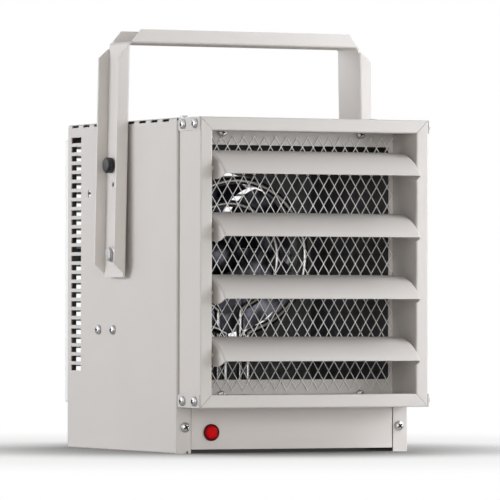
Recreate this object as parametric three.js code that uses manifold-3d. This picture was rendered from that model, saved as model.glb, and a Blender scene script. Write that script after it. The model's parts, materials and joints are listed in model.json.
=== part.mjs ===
// Ceiling mounted fan heater with a tilting bracket and four adjustable louvre blades.
// Millimetres, +Z up, the louvres face -Y. Every physical piece is one named mesh.

import * as THREE from 'three';
import { mergeVertices } from 'three/addons/utils/BufferGeometryUtils.js';
import Module from 'manifold-3d';

const wasm = await Module();
wasm.setup();

// ---------------------------------------------------------------- driving dimensions

const GAP = 0.4; // left between neighbouring pieces
const PAST = 1; // how far a cutting tool runs past the sheet
const MIRROR = [-1, 1];

// Cabinet: one folded sheet, Y = 0 at the face of its front flanges, Z = 0 under its legs
const CASE_WIDTH = 284;
const CASE_DEPTH = 300;
const CASE_HEIGHT = 368;
const SHEET = 1.2;
const CASE_BEND = 3;
const SIDE_X = CASE_WIDTH / 2;
const LEG_WIDTH = 18;
const LEG_HEIGHT = 50;
const LEG_NOTCH = { near: 128.8, far: 131.2, height: 2.3 };
const FRONT_FLANGE = 13;
const BOTTOM_FLANGE = 12;
const REAR_FLANGE = 8;
const TOP_FLANGE = { front: 13, rear: 12 };

// Intake slots in both sides and the short slots along the top bends
const VENT_COUNT = 26;
const VENT_PITCH = 10.36;
const VENT_HEIGHT = 6.4;
const VENT_LENGTH = 28;
const VENT_TOP = 353.3;
const VENT_FROM_REAR = 10.7;
const BEND_SLOT_COUNT = 9;
const BEND_SLOT_PITCH = 31.2;
const BEND_SLOT_LENGTH = 18.4;
const BEND_SLOT_HEIGHT = 2;
const BEND_SLOT_FIRST = 20;
const BEND_SLOT_DROP = 1.4;
const BASE_PAN = { low: 4.3, high: 24, front: 3.4 };
const LOWER_PANEL = { front: 0.8, side: 0.8, high: 56, returnDepth: 14, returnLow: 26 };
const PLAIN_HOLE = { y: 238.4, z: 288.6, radius: 4.3 };

// Outlet frame: four mitred channels in front of the cabinet
const FRAME_WIDTH = 278;
const FRAME_BOTTOM = 50.5;
const FRAME_HEIGHT = 317;
const FRAME_FRONT = 56;
const FRAME_REAR_GAP = 4.6;
const RAIL_FACE = 14.6;
const RAIL_SHEET = 1;
const RETURN_DEPTH = 34;
const MITRE_GAP = 0.2;
const FRAME_MID_Z = FRAME_BOTTOM + FRAME_HEIGHT / 2;
const FRAME_X = FRAME_WIDTH / 2;
const OPENING_X = FRAME_X - RAIL_FACE;
const OPENING_Z = FRAME_HEIGHT / 2 - RAIL_FACE;
const CORNER_PLATE = { height: 14.4, thickness: 1.2, round: 4, inset: 0.2, gap: 0.3, rear: 0.6 };
const CORNER_SCREW_Y = [-15.5, -46.5];

// Outlet plate behind the frame, with the expanded metal on it
const PLATE_Y = 5;
const PLATE_OPENING = { x: 120.5, low: 80.5, high: 339 };
const PLATE_LOW = 58;
const PLATE_HIGH = 362;
const COLLAR_DEPTH = 25;
const MESH_X = 124.4;
const MESH_LOW = 68.5;
const MESH_HIGH = 348.5;
const MESH_THICKNESS = 1.2;
const MESH_BORDER = 2;
const MESH_STRAND = 2;
const MESH_PITCH_X = 24.2;
const MESH_PITCH_Z = 39;

// Louvre blades: an arched strip with D-shaped end caps and end pins
const BLADE_COUNT = 4;
const BLADE_PITCH = 68;
const TOP_PIVOT_Z = 312;
const PIVOT_Y = -46;
const BLADE_HALF = 117;
const BLADE_SHEET = 1.2;
const BLADE_LIP = { y: -31, z: -5.8 };
const BLADE_REAR = { y: 31, z: 19.6 };
const BLADE_RADIUS = 70;
const CAP_SAGITTA = 15;
const CAP_SHEET = 1.2;
const PIN_RADIUS = 2.4;
const PIN_HOLE = 2.9;
const PIN_END = 127.4;

// Bracket: a U-channel whose flanges point away from the case
const BRACKET_SHEET = 2.5;
const BRACKET_TOP_X = 144.5;
const BRACKET_SPLAY = 0.0205; // outward slope of the arms, mm per mm going down
const BRACKET_FRONT_Y = 123.5;
const BRACKET_REAR_Y = 180;
const BAR_LOW = 455;
const BAR_FLANGE = 15.5;
const ARM_FLANGE = 14.5;
const ARM_BOTTOM = 193.5;
const FLANGE_BOTTOM = 198;
const FLANGE_TOP = 450;
const FLANGE_CHAMFER = 10.5;
const WEB_CHAMFER = 4.5;
const BRACKET_BEND = 5;
const PIVOT = { y: 158, z: 219.5 };
const CLAMP = { y: 163, z: 319 };
const TILT_FORWARD = 12;
const TILT_BACK = 30;
const CEILING_HOLES = { at: [-90, 0, 90], radius: 4.5 };
const PIVOT_BOLT = { shank: 4, hole: 4.4, head: 9, top: 7.4, flange: 1, height: 3.2, inside: 133.6 };
const CLAMP_BOLT = { shank: 3, hole: 3.6, head: 8, thickness: 2.6 };
const CLAMP_KNOB = { radius: 8.8, foot: 6.8, crown: 7.5, height: 8.4, bore: 3.4 };
const SPARE_HOLE = { y: 158.5, z: 297.3, radius: 2.85 };
const WELD_NUT = { radius: 8, depth: 7 };

// Inside
const CHAMBER = { x: 121.6, low: 70, high: 350, sheet: 0.8, front: 6.8, rear: 203.5 };
const CHAMBER_TAB = { x: 109, length: 20 };
const BULKHEAD_Y = 204.2;
const BULKHEAD = {
  x: 139.8, low: 58, high: 364, lip: 14, sides: 32, notch: { x: 136.4, low: 286, high: 334 },
};
const FAN_Z = 218;
const ORIFICE_RADIUS = 97;
const FAN_RADIUS = 91;
const FAN_BLADES = 5;
const FAN_BLADE = {
  root: 12, leading: { x: -34, z: 78 }, trailing: { x: 40, z: 76 }, sheet: 1.4, pitch: 18,
};
const HUB_RADIUS = 20;
const HUB_FRONT = 180;
const HUB_DOME = 3;
const HUB_REAR = 203;
const MOTOR_RADIUS = 42;
const MOTOR_FRONT = 213;
const MOTOR_REAR = 284;
const MOTOR_NOSE = { radius: 13, length: 6 };
const MOTOR_ROUND = 6;
const SHAFT = { radius: 3, bore: 3.4 };
const STRAP = { half: 9, sheet: 2, flat: 60, bend: 118 };
const ELEMENT_TUBE = 4;
const ELEMENT_LEAD = { below: 8, straight: 10, opening: 0.12 };
const ELEMENTS = [
  { name: 'heating_element_outer', radius: 86, y: 148, foot: 14 },
  { name: 'heating_element_inner', radius: 60, y: 168, foot: 14 },
];
const TERMINAL_PLATE = { x: 34, front: 136, rear: 180, low: 66.4, sheet: 1.6, slot: { x: 28, inset: 4 } };
const REAR_PANEL_Y = 297.2;
const REAR_OPENING = { x: 132, low: 58, high: 346 };
const GUARD = { x: 139.5, low: 51.5, high: 351.3, depth: 12, bars: 28, bar: 3, drop: 0.4 };
const KNOB_PLACE = { x: 82, z: 28, hole: 3.8 };
const CABLE_PLACE = { x: -85, z: 28 };
const BUSHING = { barrel: 10.6, flange: 14, bore: 7, reach: 6, height: 3, hole: 11 };
const THERMOSTAT = { half: 22, depth: 34, above: 20, bore: 3.4, boreDepth: 14 };
const DIAL = { skirt: 14, grip: 10.8, height: 11, stand: 0.8, spindle: 3, spindleDepth: 12 };
const CONTACTOR = { x: [-58, -6], y: [118, 172], high: 50 };
const TERMINAL_BLOCK = { x: [-122, -66], y: [236, 262], high: 27 };
const CUTOUT = { x: 108, z: 332, radius: 9, depth: 10 };

// Screws and lamp
const PAN = { head: 5.4, height: 2.6, shank: 2.2, length: 5, hole: 2.6 };
const LEG_SCREW = { x: 131, z: 28.6 };
const SIDE_SCREWS = [{ y: 169.4, z: 134.7 }, { y: 209.6, z: 134.7 }];
const TOP_SCREW = { x: 116, y: 35, washer: 6.2, head: 4.4, height: 4.6, length: 5 };
const SCREW_SEAT = 0.3;
const LAMP = {
  x: -99.3, z: 22.8, flange: 9.3, rim: 1.4, barrel: 8.5, barrelDepth: 22, bore: 7.9, boreDepth: 18,
  lens: 7.6, dome: 2.4, lensDepth: 16,
};

// ---------------------------------------------------------------- finishes

function finish(color, roughness, metalness) {
  return new THREE.MeshStandardMaterial({ color, roughness, metalness });
}

const FINISH = {
  paint: finish('#d6d1ca', 0.5, 0.0),
  blade: finish('#dcd8d2', 0.45, 0.0),
  strand: finish('#cfcac2', 0.5, 0.1),
  zinc: finish('#b9bbbd', 0.35, 0.9),
  steel: finish('#c8c9cb', 0.25, 1.0),
  galvanised: finish('#8f9193', 0.5, 0.8),
  aluminium: finish('#c4c6c9', 0.25, 0.9),
  element: finish('#a9a7a4', 0.3, 0.9),
  motor: finish('#8d939c', 0.45, 0.5),
  black: finish('#161616', 0.5, 0.0),
  lens: finish('#c8201c', 0.2, 0.0),
  bezel: finish('#7d1512', 0.4, 0.0),
  moulding: finish('#3a3a3c', 0.6, 0.0),
};

// ---------------------------------------------------------------- shape helpers

function toSolid(shape) {
  const bare = shape.clone();
  bare.deleteAttribute('normal');
  bare.deleteAttribute('uv');
  const merged = mergeVertices(bare, 1e-4);
  return new wasm.Manifold(new wasm.Mesh({
    numProp: 3,
    vertProperties: new Float32Array(merged.attributes.position.array),
    triVerts: new Uint32Array(merged.index.array),
  }));
}

function toGeometry(solid) {
  const mesh = solid.getMesh();
  const geometry = new THREE.BufferGeometry();
  geometry.setAttribute('position', new THREE.BufferAttribute(mesh.vertProperties, 3));
  geometry.setIndex(new THREE.BufferAttribute(mesh.triVerts, 1));
  geometry.computeVertexNormals();
  return geometry;
}

function join(shapes) {
  return toGeometry(shapes.map(toSolid).reduce((whole, shape) => whole.add(shape)));
}

function cut(shape, tools) {
  return toGeometry(tools.map(toSolid).reduce((rest, tool) => rest.subtract(tool), toSolid(shape)));
}

function block([x0, x1], [y0, y1], [z0, z1]) {
  const shape = new THREE.BoxGeometry(x1 - x0, y1 - y0, z1 - z0);
  return shape.translate((x0 + x1) / 2, (y0 + y1) / 2, (z0 + z1) / 2);
}

// A range on one side of the middle plane, written outwards, for side -1 or 1
function sided(side, near, far) {
  return side < 0 ? [-far, -near] : [near, far];
}

function outline(points) {
  return new THREE.Shape(points.map(([u, v]) => new THREE.Vector2(u, v)));
}

function extruded(shape, depth, curveSegments) {
  return new THREE.ExtrudeGeometry(shape, { depth, bevelEnabled: false, curveSegments });
}

// Prisms along an axis: along X the outline is (Y, Z), along Y (X, Z), along Z (X, Y)
function prismX(shape, [from, to], curveSegments = 6) {
  const turn = new THREE.Matrix4().makeBasis(
    new THREE.Vector3(0, 1, 0), new THREE.Vector3(0, 0, 1), new THREE.Vector3(1, 0, 0));
  return extruded(shape, to - from, curveSegments).applyMatrix4(turn).translate(from, 0, 0);
}

function prismY(shape, [from, to], curveSegments = 6) {
  return extruded(shape, to - from, curveSegments).rotateX(Math.PI / 2).translate(0, to, 0);
}

function prismZ(shape, [from, to], curveSegments = 6) {
  return extruded(shape, to - from, curveSegments).translate(0, 0, from);
}

// Round rods: the two other coordinates of the centre line, then the range along the axis
function rodX(radius, y, z, [from, to], sides = 16) {
  const rod = new THREE.CylinderGeometry(radius, radius, to - from, sides);
  return rod.rotateZ(Math.PI / 2).translate((from + to) / 2, y, z);
}

function rodY(radius, x, z, [from, to], sides = 16) {
  return new THREE.CylinderGeometry(radius, radius, to - from, sides).translate(x, (from + to) / 2, z);
}

function rodZ(radius, x, y, [from, to], sides = 16) {
  const rod = new THREE.CylinderGeometry(radius, radius, to - from, sides);
  return rod.rotateX(Math.PI / 2).translate(x, y, (from + to) / 2);
}

// A turned piece: the profile is (radius, height), standing along +Y
function turned(profile, sides = 16) {
  return new THREE.LatheGeometry(profile.map(([r, h]) => new THREE.Vector2(r, h)), sides);
}

const model = new THREE.Group();

function add(name, shape, material, parent = model) {
  const mesh = new THREE.Mesh(shape, material);
  mesh.name = name;
  parent.add(mesh);
  return mesh;
}

// ---------------------------------------------------------------- cabinet

function slotArc(radius, centre, halfWidth, from, to) {
  const shape = new THREE.Shape();
  shape.absarc(centre.y, centre.z, radius + halfWidth, from, to, false);
  const end = [centre.y + radius * Math.cos(to), centre.z + radius * Math.sin(to)];
  shape.absarc(end[0], end[1], halfWidth, to, to + Math.PI, false);
  shape.absarc(centre.y, centre.z, radius - halfWidth, to, from, true);
  const start = [centre.y + radius * Math.cos(from), centre.z + radius * Math.sin(from)];
  shape.absarc(start[0], start[1], halfWidth, from + Math.PI, from + 2 * Math.PI, false);
  return shape;
}

function wrapSection() {
  const x = SIDE_X;
  const z = CASE_HEIGHT;
  const r = CASE_BEND;
  const inner = CASE_BEND - SHEET;
  const shape = new THREE.Shape();
  shape.moveTo(x, 0);
  shape.lineTo(x, z - r);
  shape.absarc(x - r, z - r, r, 0, Math.PI / 2, false);
  shape.lineTo(r - x, z);
  shape.absarc(r - x, z - r, r, Math.PI / 2, Math.PI, false);
  shape.lineTo(-x, 0);
  shape.lineTo(SHEET - x, 0);
  shape.lineTo(SHEET - x, z - r);
  shape.absarc(r - x, z - r, inner, Math.PI, Math.PI / 2, true);
  shape.lineTo(x - r, z - SHEET);
  shape.absarc(x - r, z - r, inner, Math.PI / 2, 0, true);
  shape.lineTo(x - SHEET, 0);
  return shape;
}

function cabinetWrap() {
  const top = CASE_HEIGHT - SHEET / 2;
  const legInner = SIDE_X - LEG_WIDTH;
  const flangeInner = SIDE_X - FRONT_FLANGE;
  const solids = [prismY(wrapSection(), [0, CASE_DEPTH], 1)];
  for (const side of MIRROR) {
    const leg = outline([
      [side * (SIDE_X - SHEET / 2), 0], [side * LEG_NOTCH.far, 0],
      [side * LEG_NOTCH.far, LEG_NOTCH.height], [side * LEG_NOTCH.near, LEG_NOTCH.height],
      [side * LEG_NOTCH.near, 0], [side * legInner, 0], [side * legInner, LEG_HEIGHT],
      [side * flangeInner, LEG_HEIGHT], [side * flangeInner, CASE_HEIGHT - CASE_BEND],
      [side * (SIDE_X - SHEET / 2), CASE_HEIGHT - CASE_BEND],
    ]);
    solids.push(prismY(leg, [0, SHEET]));
    solids.push(block(sided(side, SIDE_X - BOTTOM_FLANGE, SIDE_X - SHEET / 2),
      [3 * SHEET, CASE_DEPTH], [0, SHEET]));
    solids.push(block(sided(side, SIDE_X - REAR_FLANGE, SIDE_X - SHEET / 2),
      [CASE_DEPTH - SHEET, CASE_DEPTH], [0, CASE_HEIGHT - CASE_BEND]));
    // weld nut for the pivot bolt
    const nut = sided(side, SIDE_X - WELD_NUT.depth, SIDE_X - SHEET / 2);
    solids.push(rodX(WELD_NUT.radius, PIVOT.y, PIVOT.z, nut, 12));
  }
  const flangeX = SIDE_X - CASE_BEND;
  solids.push(block([-flangeX, flangeX], [0, SHEET], [CASE_HEIGHT - TOP_FLANGE.front, top]));
  solids.push(block([-flangeX, flangeX], [CASE_DEPTH - SHEET, CASE_DEPTH],
    [CASE_HEIGHT - TOP_FLANGE.rear, top]));

  const radius = Math.hypot(CLAMP.y - PIVOT.y, CLAMP.z - PIVOT.z);
  const clampAngle = Math.atan2(CLAMP.z - PIVOT.z, CLAMP.y - PIVOT.y);
  const spare = THREE.MathUtils.degToRad(1);
  const slotFrom = clampAngle - THREE.MathUtils.degToRad(TILT_BACK) - spare;
  const slotTo = clampAngle + THREE.MathUtils.degToRad(TILT_FORWARD) + spare;
  const tools = [];
  for (const side of MIRROR) {
    const through = sided(side, SIDE_X - WELD_NUT.depth - PAST, SIDE_X + PAST);
    const sheetOnly = sided(side, SIDE_X - SHEET - PAST, SIDE_X + PAST);
    for (let i = 0; i < VENT_COUNT; i += 1) {
      const high = VENT_TOP - i * VENT_PITCH;
      const rear = CASE_DEPTH - VENT_FROM_REAR;
      tools.push(block(sheetOnly, [rear - VENT_LENGTH, rear], [high - VENT_HEIGHT, high]));
    }
    for (let i = 0; i < BEND_SLOT_COUNT; i += 1) {
      const start = BEND_SLOT_FIRST + i * BEND_SLOT_PITCH;
      const high = CASE_HEIGHT - BEND_SLOT_DROP;
      tools.push(block(sheetOnly,
        [start, start + BEND_SLOT_LENGTH], [high - BEND_SLOT_HEIGHT, high]));
    }
    tools.push(rodX(PLAIN_HOLE.radius, PLAIN_HOLE.y, PLAIN_HOLE.z, through));
    tools.push(rodX(PIVOT_BOLT.hole, PIVOT.y, PIVOT.z, through));
    tools.push(prismX(slotArc(radius, PIVOT, CLAMP_BOLT.hole, slotFrom, slotTo), through, 3));
    for (const { y, z } of SIDE_SCREWS) tools.push(rodX(PAN.hole, y, z, through, 10));
    tools.push(rodY(PAN.hole, side * LEG_SCREW.x, LEG_SCREW.z, [-PAST, SHEET + PAST], 10));
    const topSheet = [CASE_HEIGHT - SHEET - PAST, CASE_HEIGHT + PAST];
    tools.push(rodZ(PAN.hole, side * TOP_SCREW.x, TOP_SCREW.y, topSheet, 10));
  }
  return cut(join(solids), tools);
}

function basePan() {
  const x = SIDE_X - SHEET - GAP;
  const { low, high, front } = BASE_PAN;
  const section = outline([
    [-x, low], [x, low], [x, high], [x - SHEET, high], [x - SHEET, low + SHEET],
    [SHEET - x, low + SHEET], [SHEET - x, high], [-x, high],
  ]);
  return prismY(section, [front, REAR_PANEL_Y - 1]);
}

function lowerFrontPanel() {
  const { front, side: sideGap, high, returnDepth, returnLow } = LOWER_PANEL;
  const x = SIDE_X - LEG_WIDTH - sideGap;
  const panel = block([-x, x], [front, front + SHEET], [BASE_PAN.low, high]);
  const returns = MIRROR.map((side) =>
    block(sided(side, x - SHEET, x), [front, returnDepth], [returnLow, high]));
  const lampHole = rodY(LAMP.barrel + SCREW_SEAT, LAMP.x, LAMP.z, [front - PAST, front + SHEET + PAST], 20);
  return cut(join([panel, ...returns]), [lampHole]);
}

function rearPanel() {
  const x = SIDE_X - SHEET - GAP;
  const sheet = [REAR_PANEL_Y, REAR_PANEL_Y + SHEET];
  const { x: openX, low, high } = REAR_OPENING;
  const through = [REAR_PANEL_Y - PAST, REAR_PANEL_Y + SHEET + PAST];
  return cut(block([-x, x], sheet, [BASE_PAN.low, CASE_HEIGHT - CASE_BEND - GAP]), [
    block([-openX, openX], through, [low, high]),
    rodY(KNOB_PLACE.hole, KNOB_PLACE.x, KNOB_PLACE.z, through, 12),
    rodY(BUSHING.hole, CABLE_PLACE.x, CABLE_PLACE.z, through, 16),
  ]);
}

// Rear guard: a shallow rim with flat bars across its rear, at the pitch of the intake slots
function rearGuard() {
  const { x, low, high, depth, bars, bar, drop } = GUARD;
  const front = CASE_DEPTH + GAP;
  const rear = CASE_DEPTH + depth;
  const inner = x - SHEET;
  const rim = cut(block([-x, x], [front, rear], [low, high]),
    [block([-inner, inner], [front - PAST, rear + PAST], [low + SHEET, high - SHEET])]);
  const reach = x - SHEET / 2;
  const heights = Array.from({ length: bars }, (_, i) => VENT_TOP - drop - (i + 1) * VENT_PITCH);
  const rungs = heights.map((z) =>
    block([-reach, reach], [rear - SHEET, rear], [z - bar / 2, z + bar / 2]));
  return join([rim, ...rungs]);
}

add('cabinet_wrap', cabinetWrap(), FINISH.paint);
add('base_pan', basePan(), FINISH.paint);
add('lower_front_panel', lowerFrontPanel(), FINISH.paint);
add('rear_panel', rearPanel(), FINISH.galvanised);
add('rear_guard', rearGuard(), FINISH.strand);

// ---------------------------------------------------------------- outlet frame

// A channel of the given length along Z, outer edge at u = 0 and u running towards the opening,
// mitred at both ends. The face lies at -Y.
function rail(length) {
  const wallRear = -FRAME_REAR_GAP;
  const front = -FRAME_FRONT;
  const sheet = RAIL_SHEET;
  const section = outline([
    [0, front], [RAIL_FACE, front], [RAIL_FACE, front + RETURN_DEPTH],
    [RAIL_FACE - sheet, front + RETURN_DEPTH], [RAIL_FACE - sheet, front + sheet],
    [sheet, front + sheet], [sheet, wallRear], [0, wallRear],
  ]);
  const bar = prismZ(section, [-length / 2, length / 2]);
  const position = bar.attributes.position;
  for (let i = 0; i < position.count; i += 1) {
    const end = Math.sign(position.getZ(i));
    position.setZ(i, end * (length / 2 - position.getX(i) - MITRE_GAP));
  }
  return bar;
}

// Turns a rail about the Y axis through the middle of the opening and moves it to its edge
function placedRail(length, reach, quarterTurns) {
  const turn = quarterTurns * Math.PI / 2;
  return rail(length).translate(-reach, 0, 0).rotateY(turn).translate(0, 0, FRAME_MID_Z);
}

const pivotHeights = Array.from({ length: BLADE_COUNT }, (_, i) => TOP_PIVOT_Z - i * BLADE_PITCH);
const cornerInset = CORNER_PLATE.inset + CORNER_PLATE.height / 2;
const cornerZ = [FRAME_BOTTOM + FRAME_HEIGHT - cornerInset, FRAME_BOTTOM + cornerInset];

function stile(side) {
  const bar = placedRail(FRAME_HEIGHT, FRAME_X, side < 0 ? 0 : 2);
  const returnSheet = sided(side, OPENING_X - PAST, OPENING_X + RAIL_SHEET + PAST);
  const wallSheet = sided(side, FRAME_X - RAIL_SHEET - PAST, FRAME_X + PAST);
  const tools = pivotHeights.map((z) => rodX(PIN_HOLE, PIVOT_Y, z, returnSheet, 12));
  for (const z of cornerZ) {
    for (const y of CORNER_SCREW_Y) tools.push(rodX(PAN.hole, y, z, wallSheet, 10));
  }
  return cut(bar, tools);
}

add('frame_left_stile', stile(-1), FINISH.paint);
add('frame_right_stile', stile(1), FINISH.paint);
add('frame_top_rail', placedRail(FRAME_WIDTH, FRAME_HEIGHT / 2, 1), FINISH.paint);
add('frame_bottom_rail', placedRail(FRAME_WIDTH, FRAME_HEIGHT / 2, 3), FINISH.paint);

function cornerPlate(side, z) {
  const { height, thickness, round: r, gap } = CORNER_PLATE;
  const half = height / 2;
  const front = -FRAME_FRONT + SHEET / 2;
  const rear = -CORNER_PLATE.rear;
  const shape = new THREE.Shape();
  shape.moveTo(front, z - half);
  shape.lineTo(rear - r, z - half);
  shape.absarc(rear - r, z - half + r, r, -Math.PI / 2, 0, false);
  shape.absarc(rear - r, z + half - r, r, 0, Math.PI / 2, false);
  shape.lineTo(front, z + half);
  const near = FRAME_X + gap;
  const plate = prismX(shape, sided(side, near, near + thickness), 3);
  const through = sided(side, near - PAST, near + thickness + PAST);
  return cut(plate, CORNER_SCREW_Y.map((y) => rodX(PAN.hole, y, z, through, 10)));
}

// A pan-head screw standing along +Y, head upwards, with its seat at 0
function panScrew() {
  const { head, height, shank, length } = PAN;
  return turned([
    [0, -length], [shank, -length], [shank, 0], [head, 0], [head, 0.3 * height],
    [0.75 * head, 0.82 * height], [0, height],
  ], 10);
}

function screwOnSide(side, x, y, z) {
  return panScrew().rotateZ(-side * Math.PI / 2).translate(side * x, y, z);
}

const SIDE_NAMES = { '-1': 'left', 1: 'right' };
for (const side of MIRROR) {
  const seat = FRAME_X + CORNER_PLATE.gap + CORNER_PLATE.thickness + SCREW_SEAT;
  ['top', 'bottom'].forEach((level, row) => {
    const corner = `corner_plate_${level}_${SIDE_NAMES[side]}`;
    add(corner, cornerPlate(side, cornerZ[row]), FINISH.paint);
    ['rear', 'front'].forEach((place, i) => {
      const screw = screwOnSide(side, seat, CORNER_SCREW_Y[i], cornerZ[row]);
      add(`corner_screw_${level}_${SIDE_NAMES[side]}_${place}`, screw, FINISH.zinc);
    });
  });
}

// ---------------------------------------------------------------- outlet plate and mesh

function outletPlate() {
  const x = SIDE_X - SHEET - 1;
  const sheet = [PLATE_Y, PLATE_Y + SHEET];
  const plate = block([-x, x], sheet, [PLATE_LOW, PLATE_HIGH]);
  const collarX = OPENING_X + 1.1;
  const collars = MIRROR.map((side) => block(sided(side, collarX, collarX + SHEET),
    [PLATE_Y - COLLAR_DEPTH, PLATE_Y + SHEET / 2], [FRAME_MID_Z - OPENING_Z, FRAME_MID_Z + OPENING_Z]));
  const { x: openX, low, high } = PLATE_OPENING;
  return cut(join([plate, ...collars]),
    [block([-openX, openX], [PLATE_Y - PAST, PLATE_Y + SHEET + PAST], [low, high])]);
}

// Expanded metal: staggered diamonds between a plain border
function outletMesh() {
  const thickness = [PLATE_Y - GAP - MESH_THICKNESS, PLATE_Y - GAP];
  const columns = Math.floor(2 * (MESH_X - MESH_BORDER) / MESH_PITCH_X);
  const rows = Math.floor((MESH_HIGH - MESH_LOW - 2 * MESH_BORDER) / MESH_PITCH_Z);
  const lengthening = Math.hypot(MESH_PITCH_X, MESH_PITCH_Z) / MESH_PITCH_Z;
  const halfX = MESH_PITCH_X / 2 - MESH_STRAND * lengthening / 2;
  const halfZ = halfX * MESH_PITCH_Z / MESH_PITCH_X;
  const midZ = (MESH_LOW + MESH_HIGH) / 2;
  const diamond = outline([[-halfX, 0], [0, -halfZ], [halfX, 0], [0, halfZ]]);
  const holes = [];
  for (let row = 0; row < 2 * rows - 1; row += 1) {
    const shift = row % 2;
    for (let column = 0; column < columns - shift; column += 1) {
      const x = (column - (columns - 1 - shift) / 2) * MESH_PITCH_X;
      const z = midZ + (row - (rows - 1)) * MESH_PITCH_Z / 2;
      holes.push(prismY(diamond, [thickness[0] - PAST, thickness[1] + PAST]).translate(x, 0, z));
    }
  }
  return cut(block([-MESH_X, MESH_X], thickness, [MESH_LOW, MESH_HIGH]), holes);
}

add('outlet_plate', outletPlate(), FINISH.paint);
add('outlet_mesh', outletMesh(), FINISH.strand);

// ---------------------------------------------------------------- louvre blades

// Centre of the circle of the given radius through both points, on their lower or upper side
function arcCentre(a, b, radius, below) {
  const half = Math.hypot(b.y - a.y, b.z - a.z) / 2;
  const along = { y: (b.y - a.y) / (2 * half), z: (b.z - a.z) / (2 * half) };
  const reach = Math.sqrt(radius * radius - half * half) * (below ? -1 : 1);
  return { y: (a.y + b.y) / 2 - along.z * reach, z: (a.z + b.z) / 2 + along.y * reach };
}

function angleOf(centre, point) {
  return Math.atan2(point.z - centre.z, point.y - centre.y);
}

// One blade about its own pivot line, which is the local X axis
function bladeShape() {
  const crown = arcCentre(BLADE_LIP, BLADE_REAR, BLADE_RADIUS, true);
  const lipAngle = angleOf(crown, BLADE_LIP);
  const rearAngle = angleOf(crown, BLADE_REAR);
  const strip = new THREE.Shape();
  strip.absarc(crown.y, crown.z, BLADE_RADIUS, rearAngle, lipAngle, false);
  strip.absarc(crown.y, crown.z, BLADE_RADIUS - BLADE_SHEET, lipAngle, rearAngle, true);

  const half = Math.hypot(BLADE_REAR.y - BLADE_LIP.y, BLADE_REAR.z - BLADE_LIP.z) / 2;
  const capRadius = (half * half + CAP_SAGITTA * CAP_SAGITTA) / (2 * CAP_SAGITTA);
  const belly = arcCentre(BLADE_LIP, BLADE_REAR, capRadius, false);
  const cap = new THREE.Shape();
  cap.absarc(crown.y, crown.z, BLADE_RADIUS, rearAngle, lipAngle, false);
  cap.absarc(belly.y, belly.z, capRadius, angleOf(belly, BLADE_LIP), angleOf(belly, BLADE_REAR), false);

  const solids = [prismX(strip, [-BLADE_HALF, BLADE_HALF], 4)];
  for (const side of MIRROR) {
    solids.push(prismX(cap, sided(side, BLADE_HALF - 0.1, BLADE_HALF + CAP_SHEET), 4));
    solids.push(rodX(PIN_RADIUS, 0, 0, sided(side, BLADE_HALF + CAP_SHEET - 0.5, PIN_END), 8));
  }
  return join(solids);
}

pivotHeights.forEach((z, i) => {
  const blade = add(`louvre_blade_${i + 1}`, bladeShape(), FINISH.blade);
  blade.position.set(0, PIVOT_Y, z);
});

// ---------------------------------------------------------------- bracket

function armX(z) {
  return BRACKET_TOP_X + (BAR_LOW - z) * BRACKET_SPLAY;
}

function webSection() {
  const top = BAR_LOW + BRACKET_SHEET;
  const r = BRACKET_BEND;
  const bend = top - r;
  const outerX = armX(bend);
  const shape = new THREE.Shape();
  shape.moveTo(armX(ARM_BOTTOM), ARM_BOTTOM);
  shape.lineTo(outerX, bend);
  shape.absarc(outerX - r, bend, r, 0, Math.PI / 2, false);
  shape.lineTo(r - outerX, top);
  shape.absarc(r - outerX, bend, r, Math.PI / 2, Math.PI, false);
  shape.lineTo(-armX(ARM_BOTTOM), ARM_BOTTOM);
  shape.lineTo(BRACKET_SHEET - armX(ARM_BOTTOM), ARM_BOTTOM);
  shape.lineTo(BRACKET_SHEET - outerX, bend);
  shape.absarc(r - outerX, bend, r - BRACKET_SHEET, Math.PI, Math.PI / 2, true);
  shape.lineTo(outerX - r, BAR_LOW);
  shape.absarc(outerX - r, bend, r - BRACKET_SHEET, Math.PI / 2, 0, true);
  shape.lineTo(armX(ARM_BOTTOM) - BRACKET_SHEET, ARM_BOTTOM);
  return shape;
}

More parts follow.
